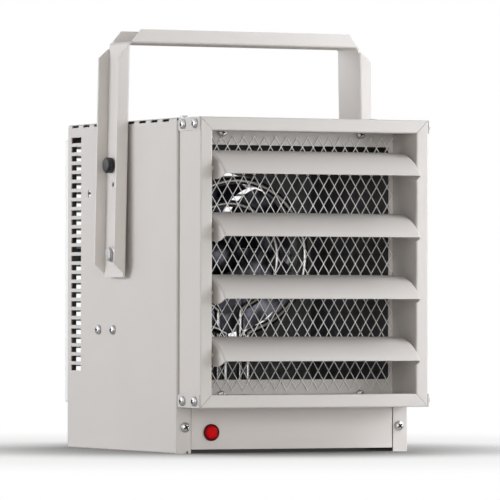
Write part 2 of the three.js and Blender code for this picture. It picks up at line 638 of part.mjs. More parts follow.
function bracketShape() {
  const solids = [prismY(webSection(), [BRACKET_FRONT_Y, BRACKET_REAR_Y], 4)];
  const barHalf = BRACKET_TOP_X - BRACKET_BEND;
  const barFlange = outline([
    [-barHalf, BAR_LOW], [barHalf, BAR_LOW],
    [barHalf - FLANGE_CHAMFER, BAR_LOW + BAR_FLANGE], [FLANGE_CHAMFER - barHalf, BAR_LOW + BAR_FLANGE],
  ]);
  for (const y of [BRACKET_FRONT_Y, BRACKET_REAR_Y - BRACKET_SHEET]) {
    const thickness = [y, y + BRACKET_SHEET];
    solids.push(prismY(barFlange, thickness));
    for (const side of MIRROR) {
      const edge = (z, out) => [side * (armX(z) - BRACKET_SHEET + out), z];
      const armFlange = outline([
        edge(FLANGE_BOTTOM, 0), edge(FLANGE_BOTTOM, BRACKET_SHEET + 1),
        edge(FLANGE_BOTTOM + FLANGE_CHAMFER, ARM_FLANGE), edge(FLANGE_TOP - FLANGE_CHAMFER, ARM_FLANGE),
        edge(FLANGE_TOP, BRACKET_SHEET + 1), edge(FLANGE_TOP, 0),
      ]);
      solids.push(prismY(armFlange, thickness));
    }
  }
  const chamfer = WEB_CHAMFER;
  const tools = [];
  const across = [-armX(ARM_BOTTOM) - 4, armX(ARM_BOTTOM) + 4];
  tools.push(prismX(outline([
    [BRACKET_FRONT_Y - 1, ARM_BOTTOM - 1], [BRACKET_FRONT_Y + chamfer, ARM_BOTTOM - 1],
    [BRACKET_FRONT_Y + chamfer, ARM_BOTTOM], [BRACKET_FRONT_Y, ARM_BOTTOM + chamfer],
    [BRACKET_FRONT_Y - 1, ARM_BOTTOM + chamfer],
  ]), across));
  tools.push(prismX(outline([
    [BRACKET_REAR_Y + 1, ARM_BOTTOM - 1], [BRACKET_REAR_Y + 1, ARM_BOTTOM + chamfer],
    [BRACKET_REAR_Y, ARM_BOTTOM + chamfer], [BRACKET_REAR_Y - chamfer, ARM_BOTTOM],
    [BRACKET_REAR_Y - chamfer, ARM_BOTTOM - 1],
  ]), across));
  for (const side of MIRROR) {
    const through = sided(side, BRACKET_TOP_X - 8, BRACKET_TOP_X + 20);
    tools.push(rodX(PIVOT_BOLT.hole, PIVOT.y, PIVOT.z, through, 16));
    tools.push(rodX(CLAMP_BOLT.hole, CLAMP.y, CLAMP.z, through, 16));
    tools.push(rodX(SPARE_HOLE.radius, SPARE_HOLE.y, SPARE_HOLE.z, through, 12));
  }
  const barMidY = (BRACKET_FRONT_Y + BRACKET_REAR_Y) / 2;
  for (const x of CEILING_HOLES.at) {
    tools.push(rodZ(CEILING_HOLES.radius, x, barMidY, [BAR_LOW - 1, BAR_LOW + BRACKET_SHEET + 1], 16));
  }
  return cut(join(solids), tools);
}

function pivotBolt(side) {
  const { shank, head, top, flange, height, inside } = PIVOT_BOLT;
  const seat = armX(PIVOT.z) + GAP - inside;
  const bolt = turned([
    [0, 0], [shank, 0], [shank, seat], [head, seat], [head, seat + flange],
    [top, seat + 0.8 * height], [0, seat + height],
  ], 18);
  return bolt.rotateZ(-side * Math.PI / 2).translate(side * inside, PIVOT.y, PIVOT.z);
}

// The carriage bolt has its head inside the case and slides along the arc slot
function clampBolt(side) {
  const { shank, head, thickness } = CLAMP_BOLT;
  const inside = SIDE_X - SHEET - GAP;
  const end = armX(CLAMP.z) + CLAMP_KNOB.height / 2;
  return join([
    rodX(head, CLAMP.y, CLAMP.z, sided(side, inside - thickness, inside), 12),
    rodX(shank, CLAMP.y, CLAMP.z, sided(side, inside - 1, end), 12),
  ]);
}

function clampKnob() {
  const { radius, foot, crown, height, bore } = CLAMP_KNOB;
  const body = turned([
    [0, 0], [foot, 0], [radius, 0.2 * height], [radius, 0.72 * height], [crown, 0.93 * height], [0, height],
  ], 18);
  return cut(body, [new THREE.CylinderGeometry(bore, bore, 1.3 * height, 12)]);
}

add('mounting_bracket', bracketShape(), FINISH.paint);
for (const side of MIRROR) {
  const word = SIDE_NAMES[side];
  add(`pivot_bolt_${word}`, pivotBolt(side), FINISH.zinc);
  add(`clamp_bolt_${word}`, clampBolt(side), FINISH.zinc);
  const knob = clampKnob().rotateZ(-side * Math.PI / 2);
  add(`clamp_knob_${word}`, knob.translate(side * (armX(CLAMP.z) + GAP), CLAMP.y, CLAMP.z), FINISH.black);
}

// ---------------------------------------------------------------- fan, motor and heat

function heatChamber() {
  const { x, low, high, sheet, front, rear } = CHAMBER;
  const { x: tabX, length } = CHAMBER_TAB;
  const { slot, front: plateFront, rear: plateRear } = TERMINAL_PLATE;
  const shell = block([-x, x], [front, rear], [low, high]);
  const tabs = MIRROR.map((side) => block(sided(side, tabX, tabX + SHEET),
    [TOP_SCREW.y - length / 2, TOP_SCREW.y + length / 2], [high - sheet / 2, CASE_HEIGHT - SHEET - GAP]));
  return cut(join([shell, ...tabs]), [
    block([sheet - x, x - sheet], [front - PAST, rear + PAST], [low + sheet, high - sheet]),
    block([-slot.x, slot.x], [plateFront + slot.inset, plateRear - slot.inset],
      [low - PAST, low + sheet + PAST]),
  ]);
}

// The plate is notched at both sides where the heads of the clamp bolts pass as the bracket tilts
function fanBulkhead() {
  const { x, low, high, lip, sides, notch } = BULKHEAD;
  const sheet = [BULKHEAD_Y, BULKHEAD_Y + SHEET];
  const front = BULKHEAD_Y - lip;
  const rear = BULKHEAD_Y + SHEET + PAST;
  const ring = rodY(ORIFICE_RADIUS + SHEET, 0, FAN_Z, [front, BULKHEAD_Y + SHEET / 2], sides);
  const bore = rodY(ORIFICE_RADIUS, 0, FAN_Z, [front - PAST, rear], sides);
  const notches = MIRROR.map((side) =>
    block(sided(side, notch.x, SIDE_X), [BULKHEAD_Y - PAST, rear], [notch.low, notch.high]));
  return cut(join([block([-x, x], sheet, [low, high]), ring]), [bore, ...notches]);
}

// One flat blade in the X-Z plane, root inside the hub, pitched about its own centre line
function fanBlade() {
  const { root, leading, trailing, sheet, pitch } = FAN_BLADE;
  const foot = HUB_RADIUS - 6;
  const blade = new THREE.Shape();
  blade.moveTo(-root, foot);
  blade.lineTo(root, foot);
  const half = 0.5 * FAN_RADIUS;
  const wide = 0.7 * FAN_RADIUS;
  blade.bezierCurveTo(1.2 * root, half, 1.1 * trailing.x, wide, trailing.x, trailing.z);
  blade.bezierCurveTo(0.6 * trailing.x, FAN_RADIUS, 0, FAN_RADIUS + 1.5, leading.x, leading.z);
  blade.bezierCurveTo(1.3 * leading.x, wide, -1.3 * root, half, -root, foot);
  return prismY(blade, [-sheet / 2, sheet / 2]).rotateZ(THREE.MathUtils.degToRad(pitch));
}

function fan() {
  const hub = turned([
    [0, HUB_FRONT - HUB_DOME], [0.5 * HUB_RADIUS, HUB_FRONT - 0.5 * HUB_DOME],
    [0.86 * HUB_RADIUS, HUB_FRONT + 0.5 * HUB_DOME], [HUB_RADIUS, HUB_FRONT + 2 * HUB_DOME],
    [HUB_RADIUS, HUB_REAR], [0, HUB_REAR],
  ], 20);
  const middle = (HUB_FRONT + HUB_REAR) / 2 + 1;
  const blades = Array.from({ length: FAN_BLADES }, (_, i) =>
    fanBlade().rotateY(i * 2 * Math.PI / FAN_BLADES).translate(0, middle, 0));
  return cut(join([hub, ...blades]), [rodY(SHAFT.bore, 0, 0, [HUB_FRONT + 2, HUB_REAR + PAST], 12)])
    .translate(0, 0, FAN_Z);
}

function motor() {
  const { radius, length } = MOTOR_NOSE;
  const rounded = MOTOR_RADIUS - MOTOR_ROUND;
  const profile = [
    [0, MOTOR_FRONT - length], [radius, MOTOR_FRONT - length], [radius + 1, MOTOR_FRONT],
    [rounded, MOTOR_FRONT + 1], [MOTOR_RADIUS, MOTOR_FRONT + 1 + MOTOR_ROUND],
    [MOTOR_RADIUS, MOTOR_REAR - 1 - MOTOR_ROUND], [rounded, MOTOR_REAR], [0, MOTOR_REAR],
  ];
  return cut(turned(profile, 28), [rodY(SHAFT.bore, 0, 0, [MOTOR_FRONT - 8, MOTOR_FRONT + 16], 12)])
    .translate(0, 0, FAN_Z);
}

function motorStrap() {
  const { half, sheet, flat, bend } = STRAP;
  const end = SIDE_X - SHEET - 1;
  const rear = REAR_PANEL_Y - GAP;
  const front = MOTOR_REAR + GAP;
  const section = outline([
    [-end, rear - sheet], [-bend, rear - sheet], [-flat, front], [flat, front], [bend, rear - sheet],
    [end, rear - sheet], [end, rear], [bend - 1, rear], [flat - 1, front + sheet], [1 - flat, front + sheet],
    [1 - bend, rear], [-end, rear],
  ]);
  return prismZ(section, [FAN_Z - half, FAN_Z + half]);
}

// A ring-shaped tubular element whose two ends run down through the chamber floor
function heatingElement({ radius, y, foot }) {
  const { below, straight, opening } = ELEMENT_LEAD;
  const points = [];
  const floor = TERMINAL_PLATE.low - below;
  const startAngle = Math.asin(foot / radius) + opening;
  const ringSteps = 22;
  const ringPoint = (angle) =>
    new THREE.Vector3(radius * Math.sin(angle), y, FAN_Z - radius * Math.cos(angle));
  const first = ringPoint(startAngle);
  points.push(new THREE.Vector3(foot, y, floor));
  points.push(new THREE.Vector3(foot, y, floor + straight));
  points.push(new THREE.Vector3(foot, y, first.z - straight));
  for (let i = 0; i <= ringSteps; i += 1) {
    points.push(ringPoint(startAngle + (2 * Math.PI - 2 * startAngle) * i / ringSteps));
  }
  points.push(new THREE.Vector3(-foot, y, first.z - straight));
  points.push(new THREE.Vector3(-foot, y, floor + straight));
  points.push(new THREE.Vector3(-foot, y, floor));
  const section = new THREE.Shape();
  section.absarc(0, 0, ELEMENT_TUBE, 0, 2 * Math.PI, false);
  const path = new THREE.CatmullRomCurve3(points, false, 'centripetal');
  return new THREE.ExtrudeGeometry(section, { steps: 46, extrudePath: path, curveSegments: 4 });
}

function terminalPlate() {
  const { x, front, rear, low, sheet } = TERMINAL_PLATE;
  const holes = ELEMENTS.flatMap(({ y, foot }) => MIRROR.map((side) =>
    rodZ(ELEMENT_TUBE + GAP, side * foot, y, [low - PAST, low + sheet + PAST], 12)));
  return cut(block([-x, x], [front, rear], [low, low + sheet]), holes);
}

add('heat_chamber', heatChamber(), FINISH.galvanised);
add('fan_bulkhead', fanBulkhead(), FINISH.galvanised);
add('fan', fan(), FINISH.aluminium);
add('motor_shaft', rodY(SHAFT.radius, 0, FAN_Z, [HUB_FRONT + 4, MOTOR_FRONT + 14], 12), FINISH.steel);
add('motor', motor(), FINISH.motor);
add('motor_strap', motorStrap(), FINISH.galvanised);
for (const element of ELEMENTS) add(element.name, heatingElement(element), FINISH.element);
add('terminal_plate', terminalPlate(), FINISH.galvanised);

// ---------------------------------------------------------------- controls

const floorZ = BASE_PAN.low + SHEET + GAP;

function cableBushing() {
  const { x, z } = CABLE_PLACE;
  const { barrel, flange, bore, reach, height } = BUSHING;
  const front = REAR_PANEL_Y - reach;
  const seat = REAR_PANEL_Y + SHEET + GAP;
  return cut(join([
    rodY(barrel, x, z, [front, seat + height / 2], 16),
    rodY(flange, x, z, [seat, seat + height], 20),
  ]), [rodY(bore, x, z, [front - PAST, seat + height + PAST], 16)]);
}

function thermostat() {
  const { x, z } = KNOB_PLACE;
  const { half, depth, above, bore, boreDepth } = THERMOSTAT;
  const rear = REAR_PANEL_Y - GAP;
  return cut(block([x - half, x + half], [rear - depth, rear], [floorZ, z + above]),
    [rodY(bore, x, z, [rear - boreDepth, rear + PAST], 12)]);
}

function thermostatKnob() {
  const { x, z } = KNOB_PLACE;
  const { skirt, grip, height, stand, spindle, spindleDepth } = DIAL;
  const base = REAR_PANEL_Y + SHEET + stand;
  const body = turned([
    [0, 0], [skirt, 0], [skirt, 2], [grip + 0.7, 3.6], [grip, height - 1], [grip - 1.2, height], [0, height],
  ], 20).translate(x, base, z);
  const pointer = block([x - 1.2, x + 1.2], [base + 2, base + height + 0.8], [z + 3, z + skirt - 1.6]);
  return join([body, pointer, rodY(spindle, x, z, [REAR_PANEL_Y - spindleDepth, base + 1], 12)]);
}

function lampBezel() {
  const { x, z, flange, rim, barrel, barrelDepth, bore, boreDepth } = LAMP;
  return cut(join([
    rodY(flange, x, z, [-rim, LOWER_PANEL.front - SCREW_SEAT], 24),
    rodY(barrel, x, z, [0, barrelDepth], 20),
  ]), [rodY(bore, x, z, [-rim - PAST, boreDepth], 20)]);
}

function lampLens() {
  const { x, z, lens, dome, lensDepth } = LAMP;
  return turned([
    [0, -dome], [0.55 * lens, -0.86 * dome], [0.9 * lens, -0.5 * dome], [lens, -0.2 * dome],
    [lens, lensDepth], [0, lensDepth],
  ], 20).translate(x, 0, z);
}

function limitCutout() {
  const { x, z, radius, depth } = CUTOUT;
  const rear = BULKHEAD_Y + SHEET;
  return rodY(radius, x, z, [rear + GAP, rear + depth], 16);
}

function onFloor({ x, y, high }) {
  return block(x, y, [floorZ, high]);
}

add('contactor', onFloor(CONTACTOR), FINISH.moulding);
add('terminal_block', onFloor(TERMINAL_BLOCK), FINISH.moulding);
add('thermostat', thermostat(), FINISH.moulding);
add('thermostat_knob', thermostatKnob(), FINISH.black);
add('cable_bushing', cableBushing(), FINISH.black);
add('limit_cutout', limitCutout(), FINISH.moulding);
add('pilot_lamp_bezel', lampBezel(), FINISH.bezel);
add('pilot_lamp_lens', lampLens(), FINISH.lens);

// ---------------------------------------------------------------- screws

function topScrew(side) {
  const { washer, head, height, length, y } = TOP_SCREW;
  const x = side * TOP_SCREW.x;
  const seat = CASE_HEIGHT + SCREW_SEAT;
  return join([
    rodZ(washer, x, y, [seat, seat + 1], 18),
    rodZ(head, x, y, [seat + 0.5, seat + height], 6),
    rodZ(PAN.shank, x, y, [seat - length, seat + 0.5], 10),
  ]);
}

for (const side of MIRROR) {
  const word = SIDE_NAMES[side];
  add(`leg_screw_${word}`,
    panScrew().rotateX(Math.PI).translate(side * LEG_SCREW.x, -SCREW_SEAT, LEG_SCREW.z), FINISH.zinc);
  add(`top_screw_${word}`, topScrew(side), FINISH.zinc);
  SIDE_SCREWS.forEach(({ y, z }, i) => {
    add(`side_screw_${word}_${i + 1}`, screwOnSide(side, SIDE_X + SCREW_SEAT, y, z), FINISH.zinc);
  });
}

// ---------------------------------------------------------------- origin

// The origin lies under the middle of the object's box, on the surface that it stands on
const whole = new THREE.Box3().setFromObject(model);
model.position.y = -(whole.min.y + whole.max.y) / 2;

export default model;
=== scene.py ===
"""Ceiling mounted fan heater: the finishes and the fine pieces, built around the packed frame.

Metres, +Z up, the louvre blades face -Y. Places and sizes come from the frame's own pieces.
"""

import json
import math

import bmesh
import bpy
from mathutils import Matrix, Vector


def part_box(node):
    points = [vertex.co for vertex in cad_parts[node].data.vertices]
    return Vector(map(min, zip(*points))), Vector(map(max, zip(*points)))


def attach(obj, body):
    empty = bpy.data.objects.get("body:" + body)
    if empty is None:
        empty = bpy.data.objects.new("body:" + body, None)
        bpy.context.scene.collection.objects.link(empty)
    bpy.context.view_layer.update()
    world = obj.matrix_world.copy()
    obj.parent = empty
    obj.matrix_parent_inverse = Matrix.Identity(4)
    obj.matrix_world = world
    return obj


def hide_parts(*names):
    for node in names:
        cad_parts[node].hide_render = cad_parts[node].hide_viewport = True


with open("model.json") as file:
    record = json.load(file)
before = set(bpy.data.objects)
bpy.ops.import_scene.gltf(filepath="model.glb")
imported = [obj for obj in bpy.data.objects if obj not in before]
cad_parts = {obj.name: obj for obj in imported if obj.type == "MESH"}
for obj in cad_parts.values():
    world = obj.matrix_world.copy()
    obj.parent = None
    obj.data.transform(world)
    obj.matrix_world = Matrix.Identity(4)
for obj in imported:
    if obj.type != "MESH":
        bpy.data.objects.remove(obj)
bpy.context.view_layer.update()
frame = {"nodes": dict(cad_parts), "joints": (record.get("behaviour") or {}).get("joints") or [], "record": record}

bl_info = {
    "name": "Ceiling fan heater",
    "version": (1, 0, 0),
    "blender": (4, 5, 0),
    "location": "View3D > Sidebar > Heater",
    "description": "Builds the finishes and fine pieces of a ceiling mounted fan heater",
    "category": "Object",
}

MM = 0.001
PARTS = frame["record"]["subparts"]
BODIES = frame["record"]["behaviour"]["bodies"]
SLOT_OF = {part["node"]: part["material_slot"] for part in PARTS}
BODY_OF = {node: body for body, nodes in BODIES.items() for node in nodes}
JOINTS = {joint["name"]: joint for joint in frame["joints"]}
CASE_LOW, CASE_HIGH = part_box("cabinet_wrap")
SIDES = {"left": -1, "right": 1}
BLADE_COUNT = 4
RECESS_SHADE = "recess"  # face attribute that is 1 inside the cross of a screw, where painted shade goes
# painted light: the bracket gets the case's paint made lighter, for the brighter light that falls on it
LIT_BRACKET_PAINT = "bracket_paint"
FOLD_STEPS = 6  # straight runs in a rounded fold
HOLE_STEPS = 23  # corners of a round hole, less one
CLEAR = 1 * MM  # how far a cutter runs past what it cuts

# Sizes of the frame's pieces that their boxes don't tell
LEG_WIDTH = 18 * MM
LEG_TOP = 50 * MM
FRONT_FLANGE = 13 * MM
REAR_FLANGE = {"side": 8 * MM, "top": 12 * MM}
BOTTOM_FLANGE = 12 * MM
VENT_INSET = {"rear": 10.7 * MM, "top": 14.7 * MM}
BEND_SLOT = {"length": 18.4 * MM, "height": 2.8 * MM, "pitch": 31.2 * MM}
BEND_SLOT_FIRST = {"behind": 29.2 * MM, "below": 2.4 * MM}
BEND_SLOT_COUNT = 9
CLAMP_SWEEP = {"back": 31, "forth": 13}  # degrees about the pivot, from the clamp bolt's place
PLAIN_HOLE = {"behind": 238.4 * MM, "z": 288.6 * MM, "radius": 4.3 * MM}
MESH_SCREWS = {"x": (-85 * MM, 85 * MM), "z": (63.5 * MM, 353.0 * MM), "head": 5.2 * MM}
LENS_RADIUS = 7.7 * MM  # where its colour is deepest
BLADE_HALF = 119.8 * MM
BLADE_LIP = Vector((-31, -5.8)) * MM  # the blade's front edge, from its pivot, in Y and Z
BLADE_REAR = Vector((31, 19.6)) * MM
BLADE_RADIUS = 70 * MM
BLADE_SHEET = 1.2 * MM
BLADE_PIN = 2.4 * MM
CAP_DEPTH = 15 * MM  # how far a blade's end cap bulges below its chord
BOLT_HOLE = {"pivot": 4.4 * MM, "clamp": 3.6 * MM}
PAN_HEIGHT = 2.6 * MM  # of the solids' heads
FAN_RADIUS = 91 * MM
HUB_RADIUS = 20 * MM
ELEMENT_TUBE = 4 * MM

# Camera, from the lines of the case in the photograph: its place, then its turns in degrees
CAMERA_PLACE = (-2.60794, -5.52727, 0.16152)
CAMERA_YAW = 25.282
CAMERA_PITCH = 0.592
CAMERA_ROLL = 0.111
CAMERA_LENS = 391.19

# Studio
WHITE = (1, 1, 1, 1)
FLOOR_REACH = 30.0
FLOOR_TINT = (1, 0.98, 0.94)
PAINTED_SHADOW_DARK = 0.05  # brightness of the painted contact shadow where the object stands on the floor
PAINTED_SHADOW_POWER = 3.0  # how fast the painted contact shadow fades away from the object


# ---------------------------------------------------------------- node trees


class Value:
    """One output of a node. Arithmetic on it adds Math nodes to its tree."""

    def __init__(self, tree, node, socket):
        self.tree = tree
        self.node = node
        self.socket = socket

    def out(self, name):
        """Another output of the same node."""
        return Value(self.tree, self.node, self.node.outputs[name])

    def __add__(self, other):
        return self.tree.math("ADD", self, other)

    def __sub__(self, other):
        return self.tree.math("SUBTRACT", self, other)

    def __mul__(self, other):
        return self.tree.math("MULTIPLY", self, other)

    def __truediv__(self, other):
        return self.tree.math("DIVIDE", self, other)

    def __rsub__(self, other):
        return self.tree.math("SUBTRACT", other, self)

    __radd__ = __add__
    __rmul__ = __mul__


class Tree:
    """Adds nodes to one tree, from a node's type, its settings and its inputs' values or links."""

    def __init__(self, tree):
        self.tree = tree

    def add(self, kind, settings=None, inputs=None, output=0):
        """A new node, given as the output that has this name or number."""
        node = self.tree.nodes.new(kind)
        for name, value in (settings or {}).items():
            setattr(node, name, value)
        for key, value in (inputs or {}).items():
            for one in value if isinstance(value, list) else [value]:
                if isinstance(one, Value):
                    self.tree.links.new(one.socket, node.inputs[key])
                else:
                    node.inputs[key].default_value = one
        return Value(self, node, node.outputs[output] if node.outputs else None)

    def math(self, operation, *values):
        return self.add("ShaderNodeMath", {"operation": operation}, dict(enumerate(values)))

    def vector(self, x, y, z):
        return self.add("ShaderNodeCombineXYZ", None, {"X": x, "Y": y, "Z": z})

    def blend(self, factor, first, second):
        """Colour between two colours."""
        colours = {0: factor, 6: first, 7: second}
        return self.add("ShaderNodeMix", {"data_type": "RGBA"}, colours, output=2)


class ShapeTree(Tree):
    """A geometry tree with named inputs, which ends in Realize Instances and Set Material."""

    def __init__(self, name, inputs):
        group = bpy.data.node_groups.new(name, "GeometryNodeTree")
        super().__init__(group)
        group.interface.new_socket("Geometry", in_out="OUTPUT", socket_type="NodeSocketGeometry")
        self.identifiers = {}
        for label, kind, default in (*inputs, ("Finish", "NodeSocketMaterial", None)):
            socket = group.interface.new_socket(label, in_out="INPUT", socket_type=kind)
            if default is not None:
                socket.default_value = default
            self.identifiers[label] = socket.identifier
        self.source = self.add("NodeGroupInput")

    def given(self, label):
        return self.source.out(label)

    def end(self, geometry):
        """Closes the tree on a geometry."""
        real = self.add("GeometryNodeRealizeInstances", None, {"Geometry": geometry})
        material = {"Geometry": real, "Material": self.given("Finish")}
        painted = self.add("GeometryNodeSetMaterial", None, material)
        self.add("NodeGroupOutput", None, {"Geometry": painted})
        return self

    def apply_to(self, piece, values):
        """Adds the tree to a piece as a modifier, with its inputs set by identifier."""
        modifier = piece.modifiers.new(self.tree.name, "NODES")
        modifier.node_group = self.tree
        for label, value in values.items():
            modifier[self.identifiers[label]] = value
        return modifier


# ---------------------------------------------------------------- finishes


def new_finish(name, build):
    """A material whose surface the function build makes."""
    material = bpy.data.materials.new(name)
    material.use_nodes = True
    material.node_tree.nodes.clear()
    tree = Tree(material.node_tree)
    tree.add("ShaderNodeOutputMaterial", None, {"Surface": build(tree)})
    return material


def noise(tree, size, detail=2.0, roughness=0.5, stretch=(1, 1, 1)):
    """Noise with features of the given size in metres, from 0 to 1."""
    place = tree.add("ShaderNodeTexCoord", output="Object")
    mapped = tree.add("ShaderNodeMapping", None, {"Vector": place, "Scale": stretch})
    inputs = {"Vector": mapped, "Scale": 1 / size, "Detail": detail, "Roughness": roughness}
    return tree.add("ShaderNodeTexNoise", None, inputs, output="Fac")


def cells(tree, size, output="Distance"):
    """Cells of the given size in metres, as the distance from their middles or as a colour each."""
    place = tree.add("ShaderNodeTexCoord", output="Object")
    inputs = {"Vector": place, "Scale": 1 / size}
    return tree.add("ShaderNodeTexVoronoi", None, inputs, output=output)


def shade(colour, level):
    """A colour at a level of brightness, with its alpha."""
    return (*(part * level for part in colour[:3]), 1)


def bumped(tree, height, depth, strength):
    """Normal of a surface whose height from 0 to 1 stands for a depth in metres."""
    inputs = {"Height": height, "Distance": depth, "Strength": strength}
    return tree.add("ShaderNodeBump", None, inputs)


def principled(tree, inputs):
    """The surface that the finishes share."""
    return tree.add("ShaderNodeBsdfPrincipled", None, inputs)


def powder_coat(colour, roughness):
    """Satin powder coat: a fine orange peel, faint clouding and a fine speckle."""

    def build(tree):
        clouding = noise(tree, 90 * MM, detail=3.0)
        speckle = noise(tree, 0.9 * MM, detail=1.0)
        peel = noise(tree, 2.2 * MM, detail=2.0)
        level = clouding * 0.75 + speckle * 0.25
        tint = tree.blend(level, shade(colour, 0.955), shade(colour, 1.045))
        surface = {
            "Base Color": tint,
            "Roughness": roughness - 0.05 + clouding * 0.06 + speckle * 0.05,
            "Normal": bumped(tree, peel, 0.03 * MM, 0.6),
            "IOR": 1.46,
        }
        return principled(tree, surface)

    return build


def zinc(tree):
    """Bright zinc plate, mottled by its crystals, and dark in the cross of a screw."""
    dull, bright, dark = (0.30, 0.295, 0.285, 1), (0.62, 0.62, 0.62, 1), (0.02, 0.02, 0.022, 1)
    cloud = noise(tree, 5 * MM, detail=2.0)
    grain = noise(tree, 0.5 * MM, detail=2.0, stretch=(1, 1, 3))
    speck = cells(tree, 1.3 * MM)
    # painted shade: the screw's cross is coloured near black, where shade falls in the recess
    recess = tree.add("ShaderNodeAttribute", {"attribute_name": RECESS_SHADE}, output="Fac")
    clean = tree.blend(cloud * 0.5 + speck * 0.6, dull, bright)
    surface = {
        "Base Color": tree.blend(recess, clean, dark),
        "Metallic": 1.0,
        "Roughness": 0.3 + grain * 0.16,
        "Normal": bumped(tree, speck, 0.12 * MM, 0.5),
    }
    return principled(tree, surface)


def galvanised(tree):
    """Dull galvanised sheet: crystal flakes that differ in brightness and gloss."""
    # painted shade: both colours are much darker than bare galvanised steel, so the sheets inside and at the rear
    # show as shaded
    dark, light = (0.10, 0.103, 0.106, 1), (0.20, 0.205, 0.21, 1)
    flake = cells(tree, 9 * MM, output="Color")
    level = tree.add("ShaderNodeSeparateColor", None, {"Color": flake})
    stain = noise(tree, 45 * MM, detail=4.0)
    surface = {
        "Base Color": tree.blend(level * 0.6 + stain * 0.4, dark, light),
        "Metallic": 0.75,
        "Roughness": 0.38 + level * 0.2,
    }
    return principled(tree, surface)


def aluminium(tree):
    """Pressed aluminium with faint rolling lines, which mirrors dark and bright places in turn."""
    # painted shade and painted highlight: the dark colour is shade inside the case, the bright patches are light
    # caught by the blades
    dark, bright = (0.055, 0.055, 0.068, 1), (0.38, 0.38, 0.45, 1)
    lines = noise(tree, 1.6 * MM, detail=3.0, stretch=(14, 14, 1))
    sheen_noise = noise(tree, 26 * MM, detail=2.0)
    contrast = {"Value": sheen_noise, "From Min": 0.47, "From Max": 0.66}
    painted_sheen = tree.add("ShaderNodeMapRange", None, contrast)
    surface = {
        "Base Color": tree.blend(painted_sheen, dark, bright),
        "Metallic": 1.0,
        "Roughness": 0.28 + lines * 0.14,
        "Normal": bumped(tree, lines, 0.015 * MM, 0.35),
    }
    return principled(tree, surface)


def ground_steel(tree):
    """Steel ground in a lathe, with fine rings."""
    rings = noise(tree, 0.6 * MM, detail=2.0, stretch=(1, 12, 1))
    surface = {
        "Base Color": tree.blend(rings, (0.55, 0.55, 0.56, 1), (0.68, 0.68, 0.69, 1)),
        "Metallic": 1.0,
        "Roughness": 0.18 + rings * 0.14,
    }
    return principled(tree, surface)


def motor_enamel(tree):
    """Satin blue-grey enamel over cast and pressed metal."""
    drift = noise(tree, 18 * MM, detail=3.0)
    pits = noise(tree, 1.1 * MM, detail=2.0)
    surface = {
        "Base Color": tree.blend(drift, (0.30, 0.32, 0.37, 1), (0.40, 0.42, 0.48, 1)),
        "Metallic": 0.35,
        "Roughness": 0.3 + pits * 0.15,
        "Normal": bumped(tree, pits, 0.05 * MM, 0.5),
    }
    return principled(tree, surface)


def element_sheath(tree):
    """Bright tube that heat has tinted here and there."""
    heat = noise(tree, 22 * MM, detail=2.0)
    streak = noise(tree, 1.4 * MM, detail=2.0)
    surface = {
        "Base Color": tree.blend(heat, (0.34, 0.32, 0.30, 1), (0.58, 0.57, 0.56, 1)),
        "Metallic": 1.0,
        "Roughness": 0.13 + streak * 0.12,
    }
    return principled(tree, surface)


def moulding(colour, roughness, grain_size, grain_depth):
    """Moulded plastic with a fine spark-eroded grain."""

    def build(tree):
        grain = noise(tree, grain_size, detail=2.0, roughness=0.6)
        wear = noise(tree, 14 * MM, detail=2.0)
        surface = {
            "Base Color": tree.blend(wear, shade(colour, 0.85), shade(colour, 1.25)),
            "Roughness": roughness - 0.06 + grain * 0.12,
            "Normal": bumped(tree, grain, grain_depth, 0.6),
        }
        return principled(tree, surface)

    return build


def lamp_lens(tree):
    """Red lens with fine diffusing dots, a little darker towards its rim."""
    clear, deep = (0.80, 0.004, 0.008, 1), (0.20, 0.0005, 0.001, 1)
    place = tree.add("ShaderNodeTexCoord", output="Object")
    from_middle = {0: place, 1: middle_of("pilot_lamp_lens")}
    local = tree.add("ShaderNodeVectorMath", {"operation": "SUBTRACT"}, from_middle)
    flat = tree.add("ShaderNodeVectorMath", {"operation": "MULTIPLY"}, {0: local, 1: (1, 0, 1)})
    radius = tree.add("ShaderNodeVectorMath", {"operation": "LENGTH"}, {0: flat}, output="Value")
    rim = tree.math("MINIMUM", tree.math("POWER", radius / LENS_RADIUS, 4.0), 1.0)
    dot = cells(tree, 1.6 * MM)
    level = tree.math("MINIMUM", rim * 0.75 + dot * 0.5, 1.0)
    surface = {
        "Base Color": tree.blend(level, clear, deep),
        "Roughness": 0.34 + dot * 0.12,
        "Specular IOR Level": 0.06,
        "Normal": bumped(tree, dot, 0.06 * MM, 0.5),
    }
    return principled(tree, surface)


def lamp_bezel(tree):
    """Dark red moulding round the lens."""
    drift = noise(tree, 4 * MM)
    surface = {
        "Base Color": tree.blend(drift, (0.060, 0.001, 0.004, 1), (0.085, 0.002, 0.006, 1)),
        "Roughness": 0.35 + drift * 0.08,
        "Specular IOR Level": 0.12,
    }
    return principled(tree, surface)


FINISHES = {}


def make_finishes(colours):
    """Every finish, by the name of its material slot, and the bracket's own lighter coat."""
    rough = colours.paint_roughness
    builders = {
        "painted_sheet": powder_coat(colours.paint, rough),
        LIT_BRACKET_PAINT: powder_coat(colours.bracket, rough),
        "louvre_paint": powder_coat(colours.blades, rough - 0.03),
        "painted_strand": powder_coat(colours.strand, rough),
        "zinc_plate": zinc,
        "galvanised_sheet": galvanised,
        "bare_aluminium": aluminium,
        "ground_steel": ground_steel,
        "motor_enamel": motor_enamel,
        "element_sheath": element_sheath,
        "dark_moulding": moulding((0.035, 0.035, 0.038), 0.5, 0.8 * MM, 0.04 * MM),
        "black_plastic": moulding((0.0035, 0.0035, 0.005), 0.42, 0.7 * MM, 0.015 * MM),
        "red_bezel": lamp_bezel,
        "red_lens": lamp_lens,
    }
    for name, build in builders.items():
        FINISHES[name] = new_finish(name, build)


# ---------------------------------------------------------------- mesh helpers


